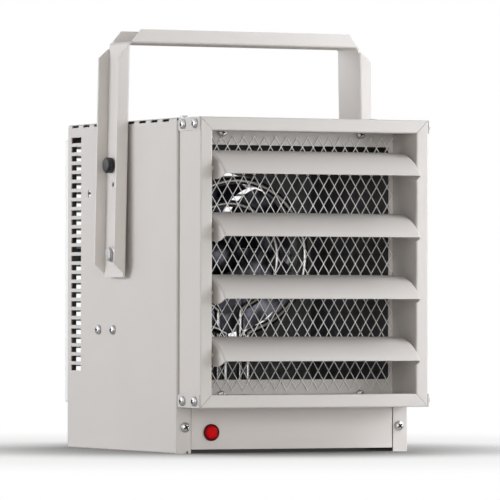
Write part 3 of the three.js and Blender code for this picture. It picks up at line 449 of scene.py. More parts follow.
def new_object(name, data):
    """A new object in the scene, at the origin."""
    piece = bpy.data.objects.new(name, data)
    bpy.context.scene.collection.objects.link(piece)
    return piece


def mesh_piece(name, bm):
    """A new piece from a bmesh, which is freed."""
    mesh = bpy.data.meshes.new(name)
    bm.to_mesh(mesh)
    bm.free()
    return new_object(name, mesh)


def plain_mesh(piece):
    """Replaces the piece's mesh by what its modifiers make of it, and removes them."""
    depsgraph = bpy.context.evaluated_depsgraph_get()
    mesh = bpy.data.meshes.new_from_object(piece.evaluated_get(depsgraph))
    piece.modifiers.clear()
    piece.data = mesh
    return mesh


def settle(piece, slot, body="cabinet", crease=30.0):
    """Applies the modifiers, smooths up to the crease angle and fixes the piece to its body."""
    mesh = plain_mesh(piece)
    mesh.materials.clear()
    mesh.materials.append(FINISHES[slot])
    mesh.shade_smooth()
    mesh.set_sharp_from_angle(angle=math.radians(crease))
    weighted = piece.modifiers.new("even_shading", "WEIGHTED_NORMAL")
    weighted.keep_sharp = True
    plain_mesh(piece)
    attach(piece, body)


def stand_for(piece, *nodes, crease=30.0):
    """Settles a piece in the place of frame nodes, with their slot and on their body."""
    settle(piece, SLOT_OF[nodes[0]], BODY_OF[nodes[0]], crease)
    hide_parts(*nodes)


def cut(piece, cutter):
    """Cuts a closed bmesh out of a piece."""
    knife = mesh_piece(piece.name + "_knife", cutter)
    modifier = piece.modifiers.new("cut", "BOOLEAN")
    modifier.operation = "DIFFERENCE"
    modifier.solver = "EXACT"
    modifier.object = knife
    plain_mesh(piece)
    bpy.data.objects.remove(knife)


def cut_block(piece, low, high):
    """Cuts the box between two corners out of a piece."""
    knife = bmesh.new()
    block(knife, low, high)
    cut(piece, knife)


def add_wall(piece, thickness, offset=-1.0):
    """Gives a surface the thickness of its sheet, inwards, or outwards at offset 1."""
    wall = piece.modifiers.new("wall", "SOLIDIFY")
    wall.thickness = thickness
    wall.offset = offset
    wall.use_even_offset = True


def add_ease(piece, width, angle):
    """Eases the edges that are sharper than an angle in degrees."""
    ease = piece.modifiers.new("eased", "BEVEL")
    ease.width = width
    ease.segments = 2
    ease.limit_method = "ANGLE"
    ease.angle_limit = math.radians(angle)


def middle_of(node):
    """Middle of a frame node's box."""
    low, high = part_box(node)
    return (low + high) / 2


def left_of(direction):
    """A direction in a plane, turned a quarter to the left."""
    return Vector((-direction.y, direction.x))


def folded_outline(path, bend, sheet):
    """Closed outline of a folded sheet, from a centre line whose corners are rounded by bend."""
    points = [Vector(p) for p in path]
    centre = [(points[0], left_of((points[1] - points[0]).normalized()))]
    for before_point, point, after_point in zip(points, points[1:], points[2:]):
        before = (point - before_point).normalized()
        after = (after_point - point).normalized()
        turn = math.atan2(before.x * after.y - before.y * after.x, before.dot(after))
        way = math.copysign(1.0, turn)
        start = point - before * bend * math.tan(abs(turn) / 2)
        middle = start + left_of(before) * bend * way
        for step in range(FOLD_STEPS + 1):
            normal = left_of(before)
            normal.rotate(Matrix.Rotation(turn * step / FOLD_STEPS, 2))
            centre.append((middle - normal * bend * way, normal))
    centre.append((points[-1], left_of((points[-1] - points[-2]).normalized())))
    upper = [p + n * sheet / 2 for p, n in centre]
    lower = [p - n * sheet / 2 for p, n in reversed(centre)]
    return upper + lower


def prism(bm, outline, place, low, high):
    """A closed prism whose outline points (u, v) run from low(u) to high(u), each put by place."""
    rings = [[bm.verts.new(place(u, v, end(u))) for u, v in outline] for end in (low, high)]
    count = len(outline)
    made = []
    for i in range(count):
        j = (i + 1) % count
        made.append(bm.faces.new((rings[0][i], rings[0][j], rings[1][j], rings[1][i])))
    made.append(bm.faces.new(list(reversed(rings[0]))))
    made.append(bm.faces.new(rings[1]))
    bmesh.ops.recalc_face_normals(bm, faces=made)


def drill(bm, outline, place, low, high):
    """A prism between two fixed depths, as a cutter for a hole."""
    prism(bm, outline, place, lambda u: low, lambda u: high)


def along_x(u, v, w):
    """Puts an outline in (Y, Z) along X."""
    return Vector((w, u, v))


def along_y(u, v, w):
    """Puts an outline in (X, Z) along Y."""
    return Vector((u, w, v))


def along_z(u, v, w):
    """Puts an outline in (X, Y) along Z."""
    return Vector((u, v, w))


def fill_grid(bm, grid):
    """Faces between the rows of a grid of vertices."""
    for row, other in zip(grid, grid[1:]):
        for j in range(len(row) - 1):
            bm.faces.new((row[j], row[j + 1], other[j + 1], other[j]))


def block(bm, low, high):
    """A closed box between two corners, for cutters and small parts of a piece."""
    centre = (Vector(low) + Vector(high)) / 2
    size = Vector(high) - Vector(low)
    matrix = Matrix.Translation(centre) @ Matrix.Diagonal((*size, 1))
    bmesh.ops.create_cube(bm, size=1.0, matrix=matrix)


def turned(bm, profile, segments, matrix):
    """A closed lathe shape about the matrix's Z axis, from (radius, height) points."""
    rings = []
    for radius, height in profile:
        if radius < 0.001 * MM:
            rings.append([bm.verts.new(matrix @ Vector((0, 0, height)))])
            continue
        angles = [math.tau * i / segments for i in range(segments)]
        ring = [Vector((radius * math.cos(a), radius * math.sin(a), height)) for a in angles]
        rings.append([bm.verts.new(matrix @ p) for p in ring])
    pairs = list(zip(rings, rings[1:]))
    if len(rings[0]) > 1:
        pairs.append((rings[-1], rings[0]))
    made = []
    for first, second in pairs:
        for i in range(segments):
            j = (i + 1) % segments
            corners = [first[i % len(first)], first[j % len(first)]]
            corners += [second[j % len(second)], second[i % len(second)]]
            unique = list(dict.fromkeys(corners))
            if len(unique) > 2:
                made.append(bm.faces.new(unique))
    bmesh.ops.recalc_face_normals(bm, faces=made)


def turned_piece(name, profile, segments, matrix):
    """A piece that is one lathe shape."""
    bm = bmesh.new()
    turned(bm, profile, segments, matrix)
    return mesh_piece(name, bm)


def in_metres(profile):
    """A profile that is written in millimetres."""
    return [(radius * MM, height * MM) for radius, height in profile]


def arc(centre, radius, start, end, steps):
    """Points on an arc between two angles in degrees, as (first, second) pairs."""
    angles = [math.radians(start + (end - start) * i / steps) for i in range(steps + 1)]
    return [(centre[0] + radius * math.cos(a), centre[1] + radius * math.sin(a)) for a in angles]


def round_hole(centre, radius):
    """Outline of a round hole."""
    return arc(centre, radius, 0, 360 - 360 / (HOLE_STEPS + 1), HOLE_STEPS)


def facing(point, direction):
    """A matrix that puts local Z along the direction, at the point."""
    turn = Vector(direction).to_track_quat("Z", "Y").to_matrix().to_4x4()
    return Matrix.Translation(point) @ turn


def eased_copy(name, node, width):
    """A copy of a frame node with its sharp edges eased."""
    bm = bmesh.new()
    bm.from_mesh(frame["nodes"][node].data)
    bmesh.ops.remove_doubles(bm, verts=bm.verts, dist=0.005 * MM)
    piece = mesh_piece(name, bm)
    add_ease(piece, width, 35)
    return piece


# ---------------------------------------------------------------- trees for what repeats


def slot_row_tree():
    """Punches a row of equal slots into a sheet."""
    tree = ShapeTree("slot_row", (
        ("Sheet", "NodeSocketGeometry", None),
        ("Count", "NodeSocketInt", 9),
        ("Start", "NodeSocketVector", None),
        ("Step", "NodeSocketVector", None),
        ("Slot", "NodeSocketVector", None),
    ))
    line = tree.add("GeometryNodeMeshLine", {"mode": "OFFSET"}, {
        "Count": tree.given("Count"),
        "Start Location": tree.given("Start"),
        "Offset": tree.given("Step"),
    })
    hole = tree.add("GeometryNodeMeshCube", None, {"Size": tree.given("Slot")})
    row = tree.add("GeometryNodeInstanceOnPoints", None, {"Points": line, "Instance": hole})
    inputs = {"Mesh 1": tree.given("Sheet"), "Mesh 2": row}
    punched = tree.add("GeometryNodeMeshBoolean", {"operation": "DIFFERENCE"}, inputs)
    return tree.end(punched)


def strand_mesh_tree():
    """Expanded metal: a lattice of slanted strands that meet in short bonds."""
    tree = ShapeTree("expanded_metal", (
        ("Columns", "NodeSocketInt", 19),
        ("Rows", "NodeSocketInt", 13),
        ("Pitch X", "NodeSocketFloat", 13 * MM),
        ("Pitch Z", "NodeSocketFloat", 21 * MM),
        ("Strand", "NodeSocketFloat", 1.4 * MM),
        ("Thickness", "NodeSocketFloat", 1.1 * MM),
        ("Slant", "NodeSocketFloat", 0.4),
        ("Centre", "NodeSocketVector", None),
    ))
    pitch_x, pitch_z = tree.given("Pitch X"), tree.given("Pitch Z")
    strand, thickness = tree.given("Strand"), tree.given("Thickness")
    overlap = strand * 0.4
    bond_width, bond_height, bond_depth = strand * 1.7, strand * 1.8, thickness * 1.1

    def moved(points, shift):
        return tree.add("GeometryNodeTransform", None, {"Geometry": points, "Translation": shift})

    def copies(points, instance, **more):
        inputs = {"Points": points, "Instance": instance, **more}
        return tree.add("GeometryNodeInstanceOnPoints", None, inputs)

    grid = tree.add("GeometryNodeMeshGrid", None, {
        "Size X": (tree.given("Columns") - 1) * pitch_x,
        "Size Y": (tree.given("Rows") - 1) * pitch_z,
        "Vertices X": tree.given("Columns"),
        "Vertices Y": tree.given("Rows"),
    })
    crossings = tree.add("GeometryNodeTransform", None, {
        "Geometry": grid,
        "Translation": tree.given("Centre"),
        "Rotation": (math.pi / 2, 0, 0),
    })
    half_x = pitch_x / 2
    half_z = pitch_z / 2
    length = tree.math("SQRT", half_x * half_x + half_z * half_z) + overlap
    lean = tree.math("ARCTAN2", half_x, half_z)
    bar = tree.add("GeometryNodeMeshCube", None, {"Size": tree.vector(strand, thickness, length)})
    slanted = tree.add("GeometryNodeTransform", None, {
        "Geometry": bar,
        "Rotation": tree.vector(0.0, 0.0, tree.given("Slant")),
    })
    pieces = []
    for way_x in (-1, 1):
        for way_z in (-1, 1):
            shift = tree.vector(half_x * (way_x / 2), 0.0, half_z * (way_z / 2))
            turn = tree.vector(0.0, lean * (way_x * way_z), 0.0)
            pieces.append(copies(moved(crossings, shift), slanted, Rotation=turn))
    bond_size = tree.vector(bond_width, bond_depth, bond_height)
    bond = tree.add("GeometryNodeMeshCube", None, {"Size": bond_size})
    pieces.append(copies(crossings, bond))
    for way_z in (-1, 1):
        pieces.append(copies(moved(crossings, tree.vector(half_x, 0.0, half_z * way_z)), bond))
    return tree.end(tree.add("GeometryNodeJoinGeometry", None, {"Geometry": pieces}))


def placed_tree():
    """Puts a copy of a mesh on each point, its Z axis along the point's facing, turned about it."""
    tree = ShapeTree("placed_copies", (
        ("Points", "NodeSocketGeometry", None),
        ("Copy", "NodeSocketObject", None),
    ))
    source = {"Object": tree.given("Copy")}
    copy = tree.add("GeometryNodeObjectInfo", None, source, output="Geometry")
    vector = {"data_type": "FLOAT_VECTOR"}
    facing_of = tree.add("GeometryNodeInputNamedAttribute", vector, {"Name": "facing"})
    number = {"data_type": "FLOAT"}
    turn_of = tree.add("GeometryNodeInputNamedAttribute", number, {"Name": "turn"})
    aligned = tree.add("FunctionNodeAlignRotationToVector", {"axis": "Z"}, {"Vector": facing_of})
    rotation = tree.add("FunctionNodeRotateRotation", {"rotation_space": "LOCAL"}, {
        "Rotation": aligned,
        "Rotate By": tree.vector(0.0, 0.0, turn_of),
    })
    return tree.end(tree.add("GeometryNodeInstanceOnPoints", None, {
        "Points": tree.given("Points"),
        "Instance": copy,
        "Rotation": rotation,
    }))


def ring_tree():
    """Sets copies of a mesh evenly round an axis along Y through the centre."""
    tree = ShapeTree("ring_of_copies", (
        ("Copy", "NodeSocketObject", None),
        ("Count", "NodeSocketInt", 5),
        ("First", "NodeSocketFloat", 0.0),
        ("Sweep", "NodeSocketFloat", math.tau),
        ("Centre", "NodeSocketVector", None),
    ))
    source = {"Object": tree.given("Copy")}
    copy = tree.add("GeometryNodeObjectInfo", None, source, output="Geometry")
    points = tree.add("GeometryNodeMeshLine", {"mode": "OFFSET"}, {
        "Count": tree.given("Count"),
        "Start Location": tree.given("Centre"),
        "Offset": (0, 0, 0),
    })
    step = tree.given("Sweep") / tree.given("Count")
    angle = tree.add("GeometryNodeInputIndex") * step + tree.given("First")
    return tree.end(tree.add("GeometryNodeInstanceOnPoints", None, {
        "Points": points,
        "Instance": copy,
        "Rotation": tree.vector(0.0, angle, 0.0),
    }))


TREES = {}


def make_trees():
    """The shape trees, by what they make."""
    TREES["slots"] = slot_row_tree()
    TREES["mesh"] = strand_mesh_tree()
    TREES["placed"] = placed_tree()
    TREES["ring"] = ring_tree()


def place_copies(name, copy, places):
    """One piece of copies of a mesh. A place is (point, facing, turn)."""
    points, directions, turns = zip(*places)
    mesh = bpy.data.meshes.new(name)
    mesh.from_pydata([tuple(point) for point in points], [], [])
    toward = mesh.attributes.new("facing", "FLOAT_VECTOR", "POINT")
    toward.data.foreach_set("vector", [part for direction in directions for part in direction])
    turned_by = mesh.attributes.new("turn", "FLOAT", "POINT")
    turned_by.data.foreach_set("value", turns)
    piece = new_object(name, mesh)
    TREES["placed"].apply_to(piece, {"Copy": copy, "Finish": FINISHES["zinc_plate"]})
    plain_mesh(piece)
    bpy.data.objects.remove(copy)
    return piece


def ring_of(name, copy, count, centre, first=0.0, sweep=math.tau):
    """One piece of copies of a mesh round an axis along Y. The copy's own axis passes the origin."""
    piece = mesh_piece(name, bmesh.new())
    values = {"Copy": copy, "Count": count, "First": first, "Sweep": sweep, "Centre": centre}
    TREES["ring"].apply_to(piece, {**values, "Finish": FINISHES["zinc_plate"]})
    plain_mesh(piece)
    bpy.data.objects.remove(copy)
    return piece


# ---------------------------------------------------------------- case


def case_shell(sizes):
    """The whole case as one folded sheet, still closed all round."""
    near = 1 * MM
    bm = bmesh.new()
    block(bm, CASE_LOW, CASE_HIGH)
    weights = bm.edges.layers.float.new("bevel_weight_edge")
    for edge in bm.edges:
        a, b = (v.co for v in edge.verts)
        lengthwise = abs(a.y - b.y) > near
        at_top = min(a.z, b.z) > CASE_HIGH.z - near
        at_foot = not lengthwise and max(a.z, b.z) < CASE_LOW.z + near
        small = 0.0 if at_foot else sizes.front_fold / sizes.top_fold
        edge[weights] = 1.0 if lengthwise and at_top else small
    case = mesh_piece("case_wrap", bm)
    folds = case.modifiers.new("folds", "BEVEL")
    folds.limit_method = "WEIGHT"
    folds.width = sizes.top_fold
    folds.segments = FOLD_STEPS
    add_wall(case, sizes.case_sheet)
    plain_mesh(case)
    return case


def front_cutter(sizes):
    """The window between the front flanges, a relief hole at each top corner, one leg's notch."""
    low, high, right = CASE_LOW, CASE_HIGH, CASE_HIGH.x
    front, past = low.y - CLEAR, low.y + 2 * sizes.case_sheet
    relief = {"across": 2.4 * MM, "down": 2.0 * MM, "radius": 1.7 * MM, "depth": 2.6 * MM}
    notch = {"near": 12.5 * MM, "far": 14.9 * MM, "height": 2.3 * MM}
    half = [
        (right - LEG_WIDTH, low.z - CLEAR), (right - LEG_WIDTH, LEG_TOP),
        (right - FRONT_FLANGE, LEG_TOP), (right - FRONT_FLANGE, high.z - FRONT_FLANGE),
    ]
    knife = bmesh.new()
    drill(knife, half + [(-x, z) for x, z in reversed(half)], along_y, front, past)
    for side in SIDES.values():
        corner = (side * (right - relief["across"]), high.z - relief["down"])
        hole = round_hole(corner, relief["radius"])
        drill(knife, hole, along_y, front, low.y + relief["depth"])
    block(knife, (notch["near"] - right, front, low.z - CLEAR),
          (notch["far"] - right, past, notch["height"]))
    return knife


def side_cutter():
    """The plain hole and the slot for the clamp bolt, through both sides."""
    pivot, clamp = middle_of("pivot_bolt_left"), middle_of("clamp_knob_left")
    radius = math.hypot(clamp.y - pivot.y, clamp.z - pivot.z)
    angle = math.degrees(math.atan2(clamp.z - pivot.z, clamp.y - pivot.y))
    first, last = angle - CLAMP_SWEEP["back"], angle + CLAMP_SWEEP["forth"]
    half, middle = BOLT_HOLE["clamp"], (pivot.y, pivot.z)
    start, end = (arc(middle, radius, a, a, 1)[0] for a in (first, last))
    slot = arc(middle, radius + half, first, last, 16)
    slot += arc(end, half, last, last + 180, 8)[1:-1]
    slot += arc(middle, radius - half, last, first, 16)
    slot += arc(start, half, first + 180, first + 360, 8)[1:-1]
    plain = round_hole((CASE_LOW.y + PLAIN_HOLE["behind"], PLAIN_HOLE["z"]), PLAIN_HOLE["radius"])
    knife = bmesh.new()
    for outline in (plain, slot):
        drill(knife, outline, along_x, -CASE_HIGH.x - CLEAR, CASE_HIGH.x + CLEAR)
    return knife


def punch_row(case, count, start, step, slot):
    """Punches a row of slots through both sides."""
    TREES["slots"].apply_to(case, {
        "Count": count,
        "Start": start,
        "Step": step,
        "Slot": (2 * (CASE_HIGH.x + CLEAR), *slot),
        "Finish": FINISHES["painted_sheet"],
    })


def make_case(sizes):
    """The folded wrap: top, sides and front and rear flanges, with its slots punched."""
    low, high, right = CASE_LOW, CASE_HIGH, CASE_HIGH.x
    sheet = sizes.case_sheet
    case = case_shell(sizes)
    cut(case, front_cutter(sizes))
    rear_x, rear_z = right - REAR_FLANGE["side"], high.z - REAR_FLANGE["top"]
    cut_block(case, (-rear_x, high.y - 2 * sheet, low.z - CLEAR), (rear_x, high.y + CLEAR, rear_z))
    floor_x = right - BOTTOM_FLANGE
    cut_block(case, (-floor_x, low.y + sheet, low.z - CLEAR),
              (floor_x, high.y + CLEAR, low.z + 2 * sheet))
    cut(case, side_cutter())

    length, height = sizes.vent_length, sizes.vent_height
    first_vent = (0, high.y - VENT_INSET["rear"] - length / 2,
                  high.z - VENT_INSET["top"] - height / 2)
    down = (0, 0, -sizes.vent_pitch)
    punch_row(case, sizes.vent_count, first_vent, down, (length, height))
    first_slot = (0, low.y + BEND_SLOT_FIRST["behind"], high.z - BEND_SLOT_FIRST["below"])
    slot = (BEND_SLOT["length"], BEND_SLOT["height"])
    punch_row(case, BEND_SLOT_COUNT, first_slot, (0, BEND_SLOT["pitch"], 0), slot)
    plain_mesh(case)

    pivot = middle_of("pivot_bolt_left")
    nut = [(0, -0.2), (7.6, -0.2), (7.6, 4.6), (6.8, 5.6), (0, 5.6)]
    bm = bmesh.new()
    bm.from_mesh(case.data)
    for side in (-1, 1):
        seat = facing((side * (right - sheet), pivot.y, pivot.z), (-side, 0, 0))
        turned(bm, in_metres(nut), 6, seat)
    bm.to_mesh(case.data)
    bm.free()
    stand_for(case, "cabinet_wrap")


# ---------------------------------------------------------------- outlet frame


def make_frame_rails(sizes):
    """Four mitred channels with rounded folds, and the plates over their corners."""
    sheet, mitre_gap = sizes.rail_sheet, 0.28 * MM
    left_low, left_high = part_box("frame_left_stile")
    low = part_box("frame_bottom_rail")[0]
    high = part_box("frame_top_rail")[1]
    left, right = left_low.x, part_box("frame_right_stile")[1].x
    face = left_high.x - left
    front, rear = low.y, high.y + sizes.rail_tuck
    half = sheet / 2
    path = [(half, rear), (half, front + half), (face - half, front + half),
            (face - half, front + sizes.rail_return)]
    section = folded_outline(path, sizes.rail_fold, sheet)
    middle_z = (low.z + high.z) / 2
    height, width = high.z - low.z, right - left
    rails = {
        "left_stile": (height, lambda u, v, w: Vector((left + u, v, middle_z + w))),
        "right_stile": (height, lambda u, v, w: Vector((right - u, v, middle_z + w))),
        "top_rail": (width, lambda u, v, w: Vector((w, v, high.z - u))),
        "bottom_rail": (width, lambda u, v, w: Vector((w, v, low.z + u))),
    }
    for name, (length, place) in rails.items():
        bm = bmesh.new()
        prism(bm, section, place,
              lambda u: u + mitre_gap - length / 2, lambda u: length / 2 - u - mitre_gap)
        stand_for(mesh_piece(f"outlet_{name}", bm), f"frame_{name}", crease=40)
    for level in ("top", "bottom"):
        for side in SIDES:
            node = f"corner_plate_{level}_{side}"
            stand_for(eased_copy(f"{node}_sheet", node, 0.3 * MM), node)


# ---------------------------------------------------------------- louvre blades


def circle_centre(a, b, radius, way):
    """Centre of the circle through both points, to the left (1) or right (-1) of the way a to b."""
    along = (b - a) / 2
    rise = math.sqrt(radius**2 - along.length_squared)
    return (a + b) / 2 + left_of(along.normalized()) * rise * way


def blade_arch(radius):
    """The blade's arched section at a radius about its crown's centre, from rear edge to lip."""
    columns = 20
    crown = circle_centre(BLADE_LIP, BLADE_REAR, BLADE_RADIUS, -1)
    first = math.atan2(BLADE_REAR.y - crown.y, BLADE_REAR.x - crown.x)
    last = math.atan2(BLADE_LIP.y - crown.y, BLADE_LIP.x - crown.x)
    angles = [first + (last - first) * i / columns for i in range(columns + 1)]
    return [crown + Vector((math.cos(a), math.sin(a))) * radius for a in angles]


def cap_belly(edge):
    """The round lower edge of an end cap, between the ends of its upper edge."""
    chord = (edge[0] - edge[-1]).length / 2
    radius = (chord**2 + CAP_DEPTH**2) / (2 * CAP_DEPTH)
    centre = circle_centre(edge[-1], edge[0], radius, 1)
    first, last = (math.degrees(math.atan2(p.y - centre.y, p.x - centre.x))
                   for p in (edge[-1], edge[0]))
    return arc(centre, radius, first, last, 14)[1:-1]


def make_blade(number, sizes):
    """An arched blade whose ends fold down into D-shaped caps, with a pin in each."""
    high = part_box(f"louvre_blade_{number}")[1]
    pivot = Vector(JOINTS[f"louvre_tilt_{number}"]["pos_m"])
    fold = sizes.blade_fold
    rows = []
    for way in (-1, 1):
        turns = [math.radians(90 * i / 5) for i in range(6)]
        fold_rows = [(way * (BLADE_HALF - fold + fold * math.sin(t)),
                      BLADE_RADIUS - fold * (1 - math.cos(t))) for t in turns]
        rows += fold_rows[::-1] if way < 0 else fold_rows
    bm = bmesh.new()
    grid = [[bm.verts.new((x, p.x, p.y)) for p in blade_arch(radius)] for x, radius in rows]
    fill_grid(bm, grid)
    belly = cap_belly(blade_arch(BLADE_RADIUS - fold))
    for row, x in ((grid[0], -BLADE_HALF), (grid[-1], BLADE_HALF)):
        bm.faces.new(row + [bm.verts.new((x, y, z)) for y, z in belly])
    bmesh.ops.recalc_face_normals(bm, faces=bm.faces)
    bmesh.ops.translate(bm, verts=bm.verts, vec=pivot)
    top = max(bm.faces, key=lambda f: f.calc_center_median().z)
    if top.normal.z < 0:
        bmesh.ops.reverse_faces(bm, faces=bm.faces)
    blade = mesh_piece(f"blade_{number}", bm)
    add_wall(blade, BLADE_SHEET)
    add_ease(blade, 0.3 * MM, 50)
    plain_mesh(blade)
    length, chamfer, root = high.x - BLADE_HALF, 0.4 * MM, -1 * MM
    pin = [(0, root), (BLADE_PIN, root), (BLADE_PIN, length - chamfer),
           (BLADE_PIN - chamfer, length), (0, length)]
    bm = bmesh.new()
    bm.from_mesh(blade.data)
    for way in (-1, 1):
        turned(bm, pin, 20, facing(pivot + Vector((way * BLADE_HALF, 0, 0)), (way, 0, 0)))
    bm.to_mesh(blade.data)
    bm.free()
    stand_for(blade, f"louvre_blade_{number}", crease=40)


# ---------------------------------------------------------------- bracket


BAR_Z = 455 * MM
ARM_TOP_X = 144.5 * MM
ARM_SLOPE = 0.0205  # how much further out an arm lies for each unit down
ARM_FLANGE = {"height": 14.5 * MM, "low": 198 * MM, "high": 450 * MM, "cut_back": 10.5 * MM}
BRACKET_CORNER = 5 * MM
SPARE_HOLE = {"behind": 0.5 * MM, "above": 77.8 * MM, "radius": 2.85 * MM}
CEILING_HOLES = {"x": (-90 * MM, 0, 90 * MM), "radius": 4.5 * MM}


def web_stations(low, sheet):
    """Points (X, Z) along the web's inner face, from foot to foot, each with its outward side."""

    def arm_x(z):
        return ARM_TOP_X + (BAR_Z - z) * ARM_SLOPE - sheet

    heights = (low.z, ARM_FLANGE["low"], ARM_FLANGE["high"])
    stations = [(Vector((-arm_x(z), z)), Vector((-1, 0))) for z in heights]
    bend_z = BAR_Z + sheet - BRACKET_CORNER
    centre = Vector((-(arm_x(bend_z) + sheet - BRACKET_CORNER), bend_z))
    for step in range(FOLD_STEPS + 1):
        angle = math.radians(180 - 90 * step / FOLD_STEPS)
        outward = Vector((math.cos(angle), math.sin(angle)))
        stations.append((centre + outward * (BRACKET_CORNER - sheet), outward))
    return stations + [(Vector((-p.x, p.y)), Vector((-n.x, n.y))) for p, n in reversed(stations)]


def make_bracket(sizes):
    """The U-shaped channel: one web bent twice, with folded flanges cut back at the bends."""
    sheet, fold = sizes.bracket_sheet, sizes.bracket_fold
    low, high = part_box("mounting_bracket")
    front, rear = low.y, high.y
    stations = web_stations(low, sheet)
    web = [fold + (rear - front - 2 * fold) * i / 2 for i in range(3)]
    bm = bmesh.new()
    rows = [[bm.verts.new((p.x, front + y, p.y)) for y in web] for p, _ in stations]
    fill_grid(bm, rows)

    def add_flanges(first, second, height):
        """Folded flanges along the run between two stations, both sides, with slanted ends."""
        (a, out), (b, _) = stations[first], stations[second]
        along = (b - a).normalized()
        turns = [math.radians(90 * i / 5) for i in range(1, 6)]
        profile = [(fold * math.sin(t), fold * (1 - math.cos(t))) for t in turns]
        profile.append((fold, height))
        for edge, way in ((0, -1), (len(web) - 1, 1)):
            last = [rows[first][edge], rows[second][edge]]
            for sideways, rise in profile:
                back = max(0.0, rise - fold) / (height - fold) * ARM_FLANGE["cut_back"]
                y = front + web[edge] + way * sideways
                ends = [a + out * rise + along * back, b + out * rise - along * back]
                made = [bm.verts.new((p.x, y, p.y)) for p in ends]
                bm.faces.new((last[0], last[1], made[1], made[0]))
                last = made

    foot, bend_start, bend_end = 1, 2, 2 + FOLD_STEPS + 1
    last_station = len(stations) - 1
    add_flanges(foot, bend_start, ARM_FLANGE["height"])
    add_flanges(bend_end, bend_end + 1, high.z - BAR_Z)
    add_flanges(last_station - bend_start, last_station - foot, ARM_FLANGE["height"])
    bmesh.ops.recalc_face_normals(bm, faces=bm.faces)
    bar_face = max(bm.faces, key=lambda f: f.calc_area() if abs(f.normal.z) > 0.9 else 0)
    if bar_face.normal.z < 0:
        bmesh.ops.reverse_faces(bm, faces=bm.faces)
    bracket = mesh_piece("bracket_channel", bm)
    add_wall(bracket, sheet, offset=1.0)
    plain_mesh(bracket)

    clamp, pivot = middle_of("clamp_knob_left"), middle_of("pivot_bolt_left")
    spare = (pivot.y + SPARE_HOLE["behind"], pivot.z + SPARE_HOLE["above"])
    knife = bmesh.new()
    for centre, radius in ((spare, SPARE_HOLE["radius"]),
                           ((clamp.y, clamp.z), BOLT_HOLE["clamp"]),
                           ((pivot.y, pivot.z), BOLT_HOLE["pivot"])):
        drill(knife, round_hole(centre, radius), along_x, low.x - CLEAR, high.x + CLEAR)
    for x in CEILING_HOLES["x"]:
        hole = round_hole((x, (front + rear) / 2), CEILING_HOLES["radius"])
        drill(knife, hole, along_z, BAR_Z - 2 * MM, BAR_Z + 6 * MM)
    cut(bracket, knife)
    stand_for(bracket, "mounting_bracket", crease=35)
    # the lighter copy of the paint: painted light on the bracket
    bracket.data.materials[0] = FINISHES[LIT_BRACKET_PAINT]


def make_pivot_bolt(side, way):
    """A hexagon head with a round flange on a plain shank, standing outwards from the case."""
    low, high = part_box(f"pivot_bolt_{side}")
    inner, outer = (high.x, low.x) if way < 0 else (low.x, high.x)
    seat = abs(outer - inner) - 3.2 * MM
    shank, flange, head = 4 * MM, 9 * MM, 7.6 * MM
    centre = (low + high) / 2
    matrix = facing((inner, centre.y, centre.z), (way, 0, 0))
    bm = bmesh.new()
    turned(bm, [(0, 0), (shank, 0), (shank, seat), (flange, seat), (flange, seat + 0.7 * MM),
                (8.6 * MM, seat + 1.1 * MM), (6.4 * MM, seat + 1.5 * MM),
                (0, seat + 1.5 * MM)], 48, matrix)
    turned(bm, [(0, seat + MM), (head, seat + MM), (head, seat + 4.6 * MM),
                (7.0 * MM, seat + 5.2 * MM), (0, seat + 5.4 * MM)],
           6, matrix @ Matrix.Rotation(math.radians(22), 4, "Z"))
    bolt = mesh_piece(f"pivot_bolt_{side}_head", bm)
    add_ease(bolt, 0.25 * MM, 30)
    stand_for(bolt, f"pivot_bolt_{side}", crease=35)


def make_clamp_knob(side, way):
    """A round black knob with a narrow foot and a crowned face."""
    low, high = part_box(f"clamp_knob_{side}")
    centre = (low + high) / 2
    base = high.x if way < 0 else low.x
    radius, height = (high.z - low.z) / 2, high.x - low.x
    foot_round, crown_round = 1.4 * MM, 2.2 * MM
    profile = [(0, 0.3 * MM), (0.72 * radius, 0), (0.78 * radius, 0)]
    profile += arc((radius - foot_round, 1.6 * MM), foot_round, -60, 0, 5)
    profile += arc((radius - crown_round, height - 2.6 * MM), crown_round, 0, 78, 7)
    profile += [(0.4 * radius, height - 0.15 * MM), (0, height)]
    matrix = facing((base, centre.y, centre.z), (way, 0, 0))
    knob = turned_piece(f"clamp_knob_{side}_cap", profile, 56, matrix)
    stand_for(knob, f"clamp_knob_{side}", crease=50)


def make_bracket_hardware():
    """Pivot bolts, clamp bolts and the two black knobs."""
    for side, way in SIDES.items():
        make_pivot_bolt(side, way)
        node = f"clamp_bolt_{side}"
        stand_for(eased_copy(f"{node}_turned", node, 0.2 * MM), node)
        make_clamp_knob(side, way)


# ---------------------------------------------------------------- screws


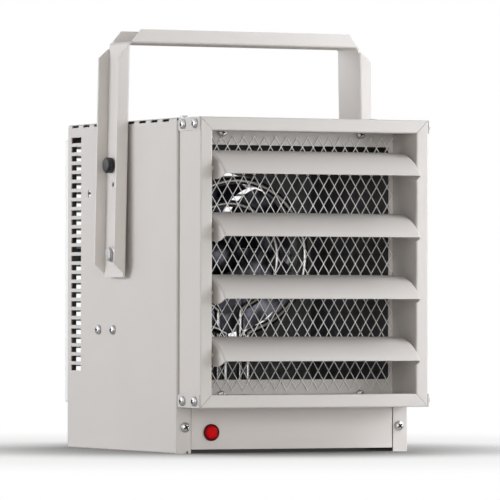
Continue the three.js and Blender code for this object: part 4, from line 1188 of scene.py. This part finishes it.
def pan_screw(radius, height, shank):
    """A pan-head screw along +Z with its seat at 0 and a cross recess, whose faces are marked."""
    tip, taper, rim, steps = -4.5 * MM, -3.6 * MM, 0.28 * height, 7
    profile = [(0, tip), (shank * 0.6, tip), (shank, taper), (shank, 0), (radius, 0), (radius, rim)]
    for i in range(1, steps):
        t = math.radians(90 * i / steps)
        profile.append((radius * math.cos(t) ** 0.7, rim + 0.72 * height * math.sin(t)))
    profile.append((0, height))
    screw = turned_piece("pan_screw", profile, 28, Matrix())

    arm, width, depth, narrowing = 0.6 * radius, 0.17 * radius, 0.9 * height, 0.8
    cross = []
    for quarter in range(4):
        turn = Matrix.Rotation(quarter * math.pi / 2, 2)
        for corner in ((width, -width), (arm, -width * narrowing), (arm, width * narrowing)):
            cross.append(turn @ Vector(corner))
    knife = bmesh.new()
    top = [knife.verts.new((*p, height * 1.1)) for p in cross]
    foot = [knife.verts.new((*(p * narrowing), height - depth)) for p in cross]
    for i in range(len(cross)):
        j = (i + 1) % len(cross)
        knife.faces.new((top[i], top[j], foot[j], foot[i]))
    knife.faces.new(top)
    knife.faces.new(foot)
    bmesh.ops.recalc_face_normals(knife, faces=knife.faces)
    cut(screw, knife)
    # marks the faces inside the cross, which the zinc finish paints near black as shade
    marks = screw.data.attributes.new(RECESS_SHADE, "FLOAT", "FACE")
    for face in screw.data.polygons:
        inside = face.center.xy.length < arm and 0 < face.center.z < 0.8 * height
        marks.data[face.index].value = 1.0 if inside else 0.0
    return screw


def screw_place(node, direction, turn):
    """Place of a frame node's screw: the seat of its head, its direction and its turn."""
    low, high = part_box(node)
    axis = Vector(direction)
    reach = abs((high - low).dot(axis))
    seat = (low + high) / 2 + axis * (reach / 2 - PAN_HEIGHT)
    return seat, axis, turn


def make_screws(sizes):
    """Pan-head screws of the corner plates and the case, the low ones on top, and the mesh's own."""
    height = sizes.screw_height
    groups = {
        "corner_plate_screws": ({}, height),
        "case_screws": ({}, height),
        "top_screws": ({}, 1.25 * MM),
    }
    turn = 0.3

    def add(group, node, direction, further):
        """Adds a screw to a group, turned further than the last one."""
        nonlocal turn
        turn += further
        groups[group][0][node] = screw_place(node, direction, turn)

    for side, way in SIDES.items():
        for level in ("top", "bottom"):
            for place in ("rear", "front"):
                add("corner_plate_screws", f"corner_screw_{level}_{side}_{place}", (way, 0, 0), 0.9)
        for number in (1, 2):
            add("case_screws", f"side_screw_{side}_{number}", (way, 0, 0), 1.1)
        add("case_screws", f"leg_screw_{side}", (0, -1, 0), 0.7)
        add("top_screws", f"top_screw_{side}", (0, 0, 1), 0.0)
    for name, (places, head_height) in groups.items():
        screw = pan_screw(sizes.screw_head / 2, head_height, 2.1 * MM)
        stand_for(place_copies(name, screw, places.values()), *places, crease=28)

    plate_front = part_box("outlet_mesh")[0].y
    places = [((x, plate_front, z), (0, -1, 0), 0.4 + 9 * x)
              for x in MESH_SCREWS["x"] for z in MESH_SCREWS["z"]]
    screw = pan_screw(MESH_SCREWS["head"], PAN_HEIGHT, 1.8 * MM)
    settle(place_copies("mesh_screws", screw, places), "zinc_plate", crease=28)


# ---------------------------------------------------------------- outlet mesh and lamp


def make_outlet_mesh(sizes):
    """The expanded metal over the outlet, in whole diamonds."""
    low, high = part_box("outlet_mesh")
    width, height = high.x - low.x, high.z - low.z
    columns, rows = round(width / sizes.mesh_pitch_x), round(height / sizes.mesh_pitch_z)
    mesh = mesh_piece("outlet_strands", bmesh.new())
    TREES["mesh"].apply_to(mesh, {
        "Columns": columns,
        "Rows": rows,
        "Pitch X": width / columns,
        "Pitch Z": height / rows,
        "Strand": sizes.mesh_strand,
        "Thickness": 0.7 * MM,
        "Slant": 0.4,
        "Centre": (low + high) / 2,
        "Finish": FINISHES["painted_strand"],
    })
    stand_for(mesh, "outlet_mesh", crease=20)


def make_lamp():
    """Pilot lamp: a rounded bezel and a domed lens."""
    low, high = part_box("pilot_lamp_bezel")
    centre = (low + high) / 2
    front = facing((centre.x, CASE_LOW.y, centre.z), (0, -1, 0))
    flange, back = (high.x - low.x) / 2, CASE_LOW.y - high.y
    bore, barrel, rim, seat = 7.9 * MM, 8.5 * MM, 1.4 * MM, -0.4 * MM
    outer, inner = 0.55 * MM, 0.4 * MM
    profile = [(bore, back), (barrel, back), (barrel, seat), (flange, seat)]
    profile += arc((flange - outer, rim - outer), outer, 0, 90, 6)
    profile += arc((bore + inner, rim - inner), inner, 90, 180, 4)
    bezel = turned_piece("pilot_lamp_ring", profile, 56, front)
    stand_for(bezel, "pilot_lamp_bezel", crease=50)
    radius, edge, dome, depth = LENS_RADIUS + 0.05 * MM, 1.1 * MM, 2.0 * MM, -16 * MM
    profile = [(0, depth), (radius, depth), (radius, edge)]
    for degrees in range(10, 90, 10):
        t = math.radians(degrees)
        profile.append((radius * math.cos(t), edge + (dome - edge) * math.sin(t)))
    profile.append((0, dome))
    lens = turned_piece("pilot_lamp_dome", profile, 56, front)
    stand_for(lens, "pilot_lamp_lens", crease=50)


# ---------------------------------------------------------------- fan, motor and elements


def fan_blade(root, tip, depth):
    """A wide swept blade with a rounded tip, arched and pitched, about the Y axis at the origin."""
    sweep, width = math.radians(33), math.radians(71)
    tip_round, camber = 4 * MM, 2.5 * MM
    rings, columns = 12, 15
    bm = bmesh.new()
    grid = []
    for i in range(rings):
        s = i / (rings - 1)
        radius = root + (tip - root) * s
        row = []
        for k in range(columns):
            t = k / (columns - 1) - 0.5
            rounded = radius - tip_round * s**6 * (2 * t) ** 4
            angle = t * width + s * sweep
            y = t * depth - camber * (1 - 4 * t * t)
            row.append(bm.verts.new((rounded * math.sin(angle), y, rounded * math.cos(angle))))
        grid.append(row)
    fill_grid(bm, grid)
    blade = mesh_piece("fan_blade", bm)
    wall = blade.modifiers.new("wall", "SOLIDIFY")
    wall.thickness = 1.2 * MM
    wall.offset = 0.0
    plain_mesh(blade)
    return blade


def make_fan():
    """Five-bladed fan: wide pressed blades on a spun hub."""
    low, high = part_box("fan")
    centre = Vector(JOINTS["fan_spin"]["pos_m"])
    middle = (centre.x, (low.y + high.y) / 2 + 2.5 * MM, centre.z)
    copy = fan_blade(17 * MM, FAN_RADIUS, 20 * MM)
    blades = ring_of("fan_blades", copy, 5, middle, first=math.radians(-42))
    settle(blades, "bare_aluminium", "fan", crease=40)
    depth, nose, edge = high.y - low.y, 11 * MM, 1 * MM
    profile = [(0, 0)]
    for degrees in range(12, 90, 11):
        t = math.radians(degrees)
        profile.append((HUB_RADIUS * math.sin(t), (1 - math.cos(t)) * nose))
    profile += [(HUB_RADIUS, nose), (HUB_RADIUS, depth - edge),
                (HUB_RADIUS - edge, depth), (0, depth)]
    hub = turned_piece("fan_hub", profile, 48, facing((centre.x, low.y, centre.z), (0, 1, 0)))
    stand_for(hub, "fan", crease=40)


def make_motor():
    """Motor body with a round nose, cooling ribs and through bolts."""
    low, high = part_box("motor")
    centre = (low + high) / 2
    axis = (centre.x, 0, centre.z)
    radius, length = (high.x - low.x) / 2, high.y - low.y
    nose, front_round, rear_round = 6 * MM, 5 * MM, 6 * MM
    profile = [(0, 0), (12 * MM, 0), (13 * MM, 1.5 * MM), (13.5 * MM, nose),
               (radius - 8 * MM, nose + MM)]
    profile += arc((radius - front_round, nose + 7 * MM), front_round, -80, 0, 6)
    profile += [(radius, length - 8 * MM)]
    profile += arc((radius - rear_round, length - rear_round), rear_round, 0, 85, 6)
    profile += [(12 * MM, length), (0, length)]
    body = turned_piece("motor_body", profile, 64, facing((centre.x, low.y, centre.z), (0, 1, 0)))
    stand_for(body, "motor", crease=40)
    bm = bmesh.new()
    block(bm, (-0.8 * MM, low.y + nose + 12 * MM, radius - 0.5 * MM),
          (0.8 * MM, high.y - 14 * MM, radius + 2.4 * MM))
    settle(ring_of("motor_ribs", mesh_piece("rib", bm), 28, axis), "motor_enamel")
    nut = in_metres([(0, 0), (3.2, 0), (3.2, 2.4), (2.8, 2.8), (0, 2.8)])
    height = radius - 7 * MM
    bm = bmesh.new()
    turned(bm, nut, 6, facing((0, high.y + 0.1 * MM, height), (0, 1, 0)))
    turned(bm, nut, 6, facing((0, low.y + nose + 2.2 * MM, height), (0, -1, 0)))
    nuts = ring_of("motor_through_bolts", mesh_piece("nut", bm), 4, axis, first=math.pi / 4)
    settle(nuts, "zinc_plate")


def tube_piece(name, points, radius):
    """A closed round tube along smooth points."""
    curve = bpy.data.curves.new(name, "CURVE")
    curve.dimensions = "3D"
    curve.bevel_depth = radius
    curve.bevel_resolution = 6
    curve.use_fill_caps = True
    spline = curve.splines.new("POLY")
    spline.points.add(len(points) - 1)
    for point, place in zip(spline.points, points):
        point.co = (*place, 1)
    holder = new_object(name + "_path", curve)
    depsgraph = bpy.context.evaluated_depsgraph_get()
    mesh = bpy.data.meshes.new_from_object(holder.evaluated_get(depsgraph))
    bpy.data.objects.remove(holder)
    return new_object(name, mesh)


def make_elements():
    """Ring-shaped tubular elements whose ends run down through the chamber floor."""
    fan_z = JOINTS["fan_spin"]["pos_m"][2]
    foot, opening, steps = 14 * MM, 0.12, 64
    for name in ("outer", "inner"):
        low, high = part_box(f"heating_element_{name}")
        y = (low.y + high.y) / 2
        radius = (high.x - low.x) / 2 - ELEMENT_TUBE
        start = math.asin(foot / radius) + opening
        angles = [start + (math.tau - 2 * start) * i / steps for i in range(steps + 1)]
        ring = [(radius * math.sin(a), y, fan_z - radius * math.cos(a)) for a in angles]
        bend = ring[0][2] - 9 * MM
        lead = [(foot, y, low.z), (foot, y, bend), (foot + 0.4 * MM, y, bend + 4 * MM)]
        trail = [(-x, y, z) for x, _, z in reversed(lead)]
        piece = tube_piece(f"element_{name}", lead + ring + trail, ELEMENT_TUBE)
        stand_for(piece, f"heating_element_{name}", crease=60)


# ---------------------------------------------------------------- rear fittings


def make_thermostat_knob(panel):
    """The knob with its spindle, pointer and grips, and the marks of its dial on the panel."""
    low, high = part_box("thermostat_knob")
    centre = Vector(JOINTS["thermostat_turn"]["pos_m"])
    base = panel + 0.8 * MM
    height, skirt = high.y - base, (high.x - low.x) / 2
    profile = [(0, 0), (skirt - 0.4 * MM, 0), (skirt, 0.5 * MM), (skirt - 0.3 * MM, 1.6 * MM),
               (11.6 * MM, 3.4 * MM), (10.9 * MM, height - 2.6 * MM)]
    profile += arc((9.6 * MM, height - 2.1 * MM), 1.3 * MM, 0, 85, 5)
    profile += [(0, height - 0.8 * MM)]
    back = facing((centre.x, base, centre.z), (0, 1, 0))
    bm = bmesh.new()
    turned(bm, profile, 56, back)
    turned(bm, in_metres([(0, -9), (3, -9), (3, 0.5), (0, 0.5)]), 24, back)
    block(bm, (centre.x - 0.7 * MM, base + 2 * MM, centre.z + 4 * MM),
          (centre.x + 0.7 * MM, high.y, centre.z + 12 * MM))
    knob = mesh_piece("thermostat_knob_cap", bm)
    stand_for(knob, "thermostat_knob", crease=40)
    bm = bmesh.new()
    block(bm, (-0.5 * MM, height * 0.25, 10.6 * MM), (0.5 * MM, height * 0.8, 11.9 * MM))
    axis = (centre.x, base, centre.z)
    grips = ring_of("thermostat_knob_grips", mesh_piece("grip", bm), 24, axis, first=0.13)
    settle(grips, "black_plastic", "thermostat_knob")
    marks, travel = 11, 300
    bm = bmesh.new()
    block(bm, (-0.35 * MM, 0, 16.2 * MM), (0.35 * MM, 0.12 * MM, 19.4 * MM))
    ticks = ring_of("thermostat_dial_marks", mesh_piece("tick", bm), marks,
                    (centre.x, panel, centre.z), first=math.radians(-travel / 2),
                    sweep=math.radians(travel * marks / (marks - 1)))
    settle(ticks, "dark_moulding")


def make_rear_fittings():
    """Thermostat knob with its dial marks, and the cable bushing."""
    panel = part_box("rear_panel")[1].y
    make_thermostat_knob(panel)
    low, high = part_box("cable_bushing")
    centre = (low + high) / 2
    bore, barrel, flange, seat = 7 * MM, 10.6 * MM, 14 * MM, 0.4 * MM
    outer, inner, reach = 1.2 * MM, 0.8 * MM, high.y - panel
    profile = [(bore, -6 * MM), (barrel, -6 * MM), (barrel, seat), (flange, seat)]
    profile += arc((flange - outer, reach - outer), outer, 0, 90, 5)
    profile += arc((bore + inner, reach - inner), inner, 90, 180, 4)
    back = facing((centre.x, panel, centre.z), (0, 1, 0))
    bushing = turned_piece("cable_bushing_ring", profile, 56, back)
    stand_for(bushing, "cable_bushing", crease=50)


def make_rear_guard(sizes):
    """Rear guard: a shallow folded rim with flat bars across its rear."""
    low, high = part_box("rear_guard")
    sheet, corner_round = sizes.case_sheet, 2.4 * MM
    bm = bmesh.new()
    block(bm, low, high)
    ends = [face for face in bm.faces if abs(face.normal.y) > 0.5]
    bmesh.ops.delete(bm, geom=ends, context="FACES_ONLY")
    corners = [edge for edge in bm.edges if abs(edge.verts[0].co.y - edge.verts[1].co.y) > MM]
    bmesh.ops.bevel(bm, geom=corners, offset=corner_round, segments=5, affect="EDGES", profile=0.5)
    bmesh.ops.recalc_face_normals(bm, faces=bm.faces)
    rim = mesh_piece("rear_guard_rim", bm)
    add_wall(rim, sheet)
    stand_for(rim, "rear_guard")

    reach, half = (high.x - low.x - sheet) / 2, sizes.guard_bar / 2
    bm = bmesh.new()
    block(bm, (-reach, -sheet / 2, -half), (reach, sheet / 2, half))
    edges = bm.edges[:]
    bmesh.ops.bevel(bm, geom=edges, offset=0.25 * MM, segments=2, affect="EDGES", profile=0.5)
    top = CASE_HIGH.z - 15.1 * MM
    heights = [top - (i + 1) * sizes.vent_pitch for i in range(sizes.vent_count + 2)]
    places = [((0, high.y - sheet / 2, z), (0, 0, 1), 0) for z in heights]
    bars = place_copies("rear_guard_bars", mesh_piece("guard_bar", bm), places)
    settle(bars, "painted_strand")


def make_eased_sheets():
    """Inner and rear parts that keep the frame's form and only get eased edges, in millimetres."""
    widths = {
        "lower_front_panel": 0.3, "base_pan": 0.3, "rear_panel": 0.25, "outlet_plate": 0.25,
        "motor_strap": 0.3, "terminal_plate": 0.3, "contactor": 0.8, "terminal_block": 0.8,
        "thermostat": 0.8, "limit_cutout": 0.4,
    }
    for node, width in widths.items():
        stand_for(eased_copy(f"{node}_form", node, width * MM), node)


def paint_frame_nodes():
    """Every node that stays as it is in the frame gets the finish of its slot."""
    for node, slot in SLOT_OF.items():
        piece = frame["nodes"][node]
        if not piece.hide_render:
            piece.data.materials.clear()
            piece.data.materials.append(FINISHES[slot])


# ---------------------------------------------------------------- stage


def make_floor(stage):
    """A white floor that keeps the object's shadow and runs into the white background."""
    bm = bmesh.new()
    bmesh.ops.create_grid(bm, x_segments=1, y_segments=1, size=FLOOR_REACH)
    floor = mesh_piece("floor", bm)

    def build(tree):
        place = tree.add("ShaderNodeTexCoord", output="Object")
        length_of = {"operation": "LENGTH"}
        distance = tree.add("ShaderNodeVectorMath", length_of, {0: place}, output="Value")
        fade = tree.add("ShaderNodeMapRange", {"interpolation_type": "SMOOTHSTEP"}, {
            "Value": distance, "From Min": stage.floor_near, "From Max": stage.floor_far,
        })
        lit_colour = shade(FLOOR_TINT, stage.floor_bounce)
        lit = tree.add("ShaderNodeBsdfDiffuse", None, {"Color": lit_colour})
        white = tree.add("ShaderNodeEmission", None, {"Color": WHITE, "Strength": 1.0})
        # painted contact shadow: the seen floor is darkened by ambient occlusion near the object, besides the
        # lamps' own shadows
        dark = tree.add("ShaderNodeEmission", None, {"Color": WHITE, "Strength": PAINTED_SHADOW_DARK})
        reach = {"Distance": stage.contact}
        painted_shadow_occlusion = tree.add("ShaderNodeAmbientOcclusion", None, reach, output="AO")
        painted_shadow_openness = tree.math("POWER", painted_shadow_occlusion, PAINTED_SHADOW_POWER)
        glow = tree.add("ShaderNodeMixShader", None, {0: painted_shadow_openness, 1: dark, 2: white})
        near = tree.add("ShaderNodeMixShader", None, {0: stage.floor_glow, 1: lit, 2: glow})
        seen = tree.add("ShaderNodeMixShader", None, {0: fade, 1: near, 2: white})
        path = tree.add("ShaderNodeLightPath", output="Is Camera Ray")
        return tree.add("ShaderNodeMixShader", None, {0: path, 1: lit, 2: seen})

    floor.data.materials.append(new_finish("studio_floor", build))


def make_world(stage):
    """White where the camera or a reflection meets it, and a soft warm light for the object."""
    world = bpy.data.worlds.new("studio")
    bpy.context.scene.world = world
    world.use_nodes = True
    world.node_tree.nodes.clear()
    tree = Tree(world.node_tree)
    path = tree.add("ShaderNodeLightPath", output="Is Camera Ray")
    shiny = tree.math("MAXIMUM", path.out("Is Glossy Ray"), path.out("Is Transmission Ray"))
    seen = tree.math("MAXIMUM", path, shiny)
    warm = {"Color": (1, 0.95, 0.86, 1), "Strength": stage.ambient}
    soft = tree.add("ShaderNodeBackground", None, warm)
    white = tree.add("ShaderNodeBackground", None, {"Color": WHITE, "Strength": 1.0})
    surface = tree.add("ShaderNodeMixShader", None, {0: seen, 1: soft, 2: white})
    tree.add("ShaderNodeOutputWorld", None, {"Surface": surface})


def make_lamp_light(name, place, aim, size, power, colour):
    """A rectangular area light at a place, turned to what it aims at."""
    light = bpy.data.lights.new(name, "AREA")
    light.shape = "RECTANGLE"
    light.size, light.size_y = size
    light.energy = power
    light.color = colour
    holder = new_object(name, light)
    holder.location = place
    direction = Vector(aim) - Vector(place)
    holder.rotation_mode = "QUATERNION"
    holder.rotation_quaternion = direction.to_track_quat("-Z", "Y")


def make_lights(stage):
    """Cool lamps on both sides and behind, white ones in front, all aimed at the outlet's height."""
    aim = (0, 0, 0.2)
    cool, white = (0.90, 0.93, 1.0), (1.0, 1.0, 1.0)
    lamps = (
        ("right_high", (0.95, -0.5, 0.8), (0.6, 0.8), stage.key_power, cool),
        ("right_low", (0.95, -1.0, 0.28), (0.8, 0.5), stage.low_power, cool),
        ("left", (-1.7, 0.6, 0.45), (0.9, 0.9), stage.side_power, cool),
        ("behind_left", (-1.4, 2.0, 0.9), (1.2, 1.2), stage.rear_power, cool),
        ("front", (-0.6, -2.4, 0.4), (1.6, 1.2), stage.front_power, white),
        ("front_left", (-2.0, -2.6, 0.6), (1.6, 1.2), stage.fill_power, white),
    )
    for name, place, size, power, colour in lamps:
        make_lamp_light(name, place, aim, size, power, colour)


def make_camera():
    """The camera, as it was fitted to the lines of the case in the photograph."""
    yaw, pitch, roll = (math.radians(a) for a in (CAMERA_YAW, CAMERA_PITCH, CAMERA_ROLL))
    forward = Vector((
        math.sin(yaw) * math.cos(pitch), math.cos(yaw) * math.cos(pitch), math.sin(pitch)))
    level = Vector((math.cos(yaw), -math.sin(yaw), 0))
    upright = level.cross(forward)
    right = level * math.cos(roll) + upright * math.sin(roll)
    up = upright * math.cos(roll) - level * math.sin(roll)
    lens = bpy.data.cameras.new("camera")
    lens.lens = CAMERA_LENS
    lens.sensor_width = 36
    lens.clip_end = 100
    camera = new_object("camera", lens)
    camera.location = CAMERA_PLACE
    camera.rotation_mode = "QUATERNION"
    camera.rotation_quaternion = Matrix((right, up, -forward)).transposed().to_quaternion()
    bpy.context.scene.camera = camera


# ---------------------------------------------------------------- properties


def amount(name, description, value, unit="NONE"):
    """A number that can be set in the panel."""
    return bpy.props.FloatProperty(
        name=name, description=description, default=value, unit=unit, precision=5)


def length(name, description, millimetres):
    """A length that can be set in the panel."""
    return amount(name, description, millimetres * MM, "LENGTH")


def finish_colour(name, description, colour):
    """A colour that can be set in the panel."""
    return bpy.props.FloatVectorProperty(
        name=name, description=description, default=colour, subtype="COLOR", size=3)


class HeaterSizes(bpy.types.PropertyGroup):
    """Sizes of the heater's fine pieces."""

    case_sheet: length("Case sheet", "Thickness of the case's sheet", 1.2)
    top_fold: length("Top fold", "Outer radius of the folds between top and sides", 3.0)
    front_fold: length("Front fold", "Outer radius of the folds to the front and rear flanges", 1.8)
    vent_length: length("Vent length", "Length of an intake slot", 28.0)
    vent_height: length("Vent height", "Height of an intake slot", 6.4)
    vent_pitch: length("Vent pitch", "Distance from one intake slot to the next", 10.36)
    vent_count: bpy.props.IntProperty(
        name="Vents", description="Intake slots on each side", default=26)
    rail_sheet: length("Rail sheet", "Thickness of the outlet frame's sheet", 1.0)
    rail_fold: length("Rail fold", "Radius of the outlet frame's folds at mid sheet", 1.3)
    rail_return: length("Rail return", "Depth of the outlet frame's inner returns", 34.0)
    rail_tuck: length("Rail tuck", "How far the frame's rear edges reach past the drawing's", 2.3)
    blade_fold: length("Blade fold", "Radius of the fold at each end of a blade", 3.0)
    bracket_sheet: length("Bracket sheet", "Thickness of the bracket's sheet", 2.5)
    bracket_fold: length("Bracket fold", "Outer radius of the bracket's flange folds", 2.9)
    mesh_pitch_x: length("Mesh pitch across", "Width of one diamond of the outlet mesh", 13.0)
    mesh_pitch_z: length("Mesh pitch up", "Height of one diamond of the outlet mesh", 21.5)
    mesh_strand: length("Mesh strand", "Width of a strand of the outlet mesh", 0.74)
    screw_head: length("Screw head", "Diameter of a pan head", 10.8)
    screw_height: length("Screw height", "Height of a pan head", 3.7)
    guard_bar: length("Guard bar", "Height of a bar of the rear guard", 3.0)


class HeaterColours(bpy.types.PropertyGroup):
    """Colours of the heater's finishes."""

    paint: finish_colour("Paint", "Colour of the case's powder coat", (0.645, 0.612, 0.578))
    # painted light: the case's paint made about a tenth lighter, for the brighter light on the bracket
    bracket: finish_colour("Bracket", "Colour of the bracket's powder coat", (0.715, 0.680, 0.645))
    blades: finish_colour("Blades", "Colour of the louvre blades' powder coat", (0.635, 0.600, 0.566))
    strand: finish_colour("Strands", "Colour of the coated mesh and guard", (0.93, 0.92, 0.89))
    paint_roughness: bpy.props.FloatProperty(
        name="Paint roughness", description="Roughness of the powder coat",
        default=0.46, min=0, max=1)


class HeaterStage(bpy.types.PropertyGroup):
    """Light and floor of the studio."""

    key_power: amount("Key", "Power of the high lamp on the right", 9.9, "POWER")
    low_power: amount("Low key", "Power of the low lamp on the right", 5.7, "POWER")
    side_power: amount("Side", "Power of the lamp on the left", 18.0, "POWER")
    rear_power: amount("Rear", "Power of the lamp behind on the left", 3.9, "POWER")
    front_power: amount("Front", "Power of the lamp in front", 15.3, "POWER")
    fill_power: amount("Fill", "Power of the lamp in front on the left", 8.2, "POWER")
    ambient: amount("Ambient", "Strength of the even light", 0.15)
    floor_bounce: amount("Floor bounce", "Brightness of the floor in the object's light", 0.8)
    floor_glow: amount("Floor glow", "Share of plain white in the floor as it is seen", 0.72)
    # reach of the painted contact shadow on the floor
    contact: amount("Contact shadow", "Reach of the soft shadow at the object", 0.28, "LENGTH")
    floor_near: amount("Floor near", "Distance at which the floor starts to fade", 0.3, "LENGTH")
    floor_far: amount("Floor far", "Distance at which the floor is plain white", 0.95, "LENGTH")


# ---------------------------------------------------------------- operators and panel


def step(name, label, words, work):
    """An operator class that runs one building step."""

    def execute(self, context):
        work(context.scene)
        return {"FINISHED"}

    members = {
        "bl_idname": f"heater.{name}", "bl_label": label, "__doc__": words, "execute": execute,
    }
    return type(f"HEATER_OT_{name}", (bpy.types.Operator,), members)


def run_prepare(scene):
    make_finishes(scene.heater_colours)
    make_trees()


def run_blades(scene):
    for number in range(1, BLADE_COUNT + 1):
        make_blade(number, scene.heater_sizes)


def run_bracket(scene):
    make_bracket(scene.heater_sizes)
    make_bracket_hardware()


def run_inside(scene):
    make_fan()
    make_motor()
    make_elements()


def run_rear(scene):
    make_rear_guard(scene.heater_sizes)
    make_rear_fittings()


def run_stage(scene):
    scene.view_settings.view_transform = "Standard"
    make_world(scene.heater_stage)
    make_floor(scene.heater_stage)
    make_lights(scene.heater_stage)
    make_camera()


STEPS = (
    step("prepare", "Finishes", "Makes the finishes and the shape trees", run_prepare),
    step("stage", "Stage", "Makes the floor, lights and camera", run_stage),
    step("case", "Case", "Makes the folded case wrap", lambda s: make_case(s.heater_sizes)),
    step("rails", "Outlet frame", "Makes the mitred frame",
         lambda s: make_frame_rails(s.heater_sizes)),
    step("blades", "Blades", "Makes the louvre blades", run_blades),
    step("bracket", "Bracket", "Makes the bracket, its bolts and knobs", run_bracket),
    step("screws", "Screws", "Makes the pan-head screws", lambda s: make_screws(s.heater_sizes)),
    step("mesh", "Outlet mesh", "Makes the expanded metal",
         lambda s: make_outlet_mesh(s.heater_sizes)),
    step("lamp", "Pilot lamp", "Makes the pilot lamp", lambda s: make_lamp()),
    step("inside", "Fan and heat", "Makes the fan, motor and elements", run_inside),
    step("rear", "Rear fittings", "Makes the guard, knob, dial and bushing", run_rear),
    step("sheets", "Plain sheets", "Eases the edges of plain sheets", lambda s: make_eased_sheets()),
    step("paint", "Frame finishes", "Paints the frame's own nodes", lambda s: paint_frame_nodes()),
)


class HEATER_PT_panel(bpy.types.Panel):
    """Lists the steps and their settings."""

    bl_label = "Ceiling fan heater"
    bl_space_type = "VIEW_3D"
    bl_region_type = "UI"
    bl_category = "Heater"

    def draw(self, context):
        for operator in STEPS:
            self.layout.operator(operator.bl_idname)
        for group in ("heater_sizes", "heater_colours", "heater_stage"):
            settings = getattr(context.scene, group)
            for name in settings.bl_rna.properties.keys():
                if name not in ("rna_type", "name"):
                    self.layout.prop(settings, name)


GROUPS = {"heater_sizes": HeaterSizes, "heater_colours": HeaterColours, "heater_stage": HeaterStage}


def register():
    for name, group in GROUPS.items():
        bpy.utils.register_class(group)
        setattr(bpy.types.Scene, name, bpy.props.PointerProperty(type=group))
    for part in (*STEPS, HEATER_PT_panel):
        bpy.utils.register_class(part)


def unregister():
    for part in reversed((*STEPS, HEATER_PT_panel)):
        bpy.utils.unregister_class(part)
    for name, group in GROUPS.items():
        delattr(bpy.types.Scene, name)
        bpy.utils.unregister_class(group)


def main():
    """Builds everything in order and writes the boxes of the frame and of the scene."""
    register()
    for operator in STEPS:
        name = operator.bl_idname.split(".")[1]
        getattr(bpy.ops.heater, name)()


if __name__ == "__main__":
    main()
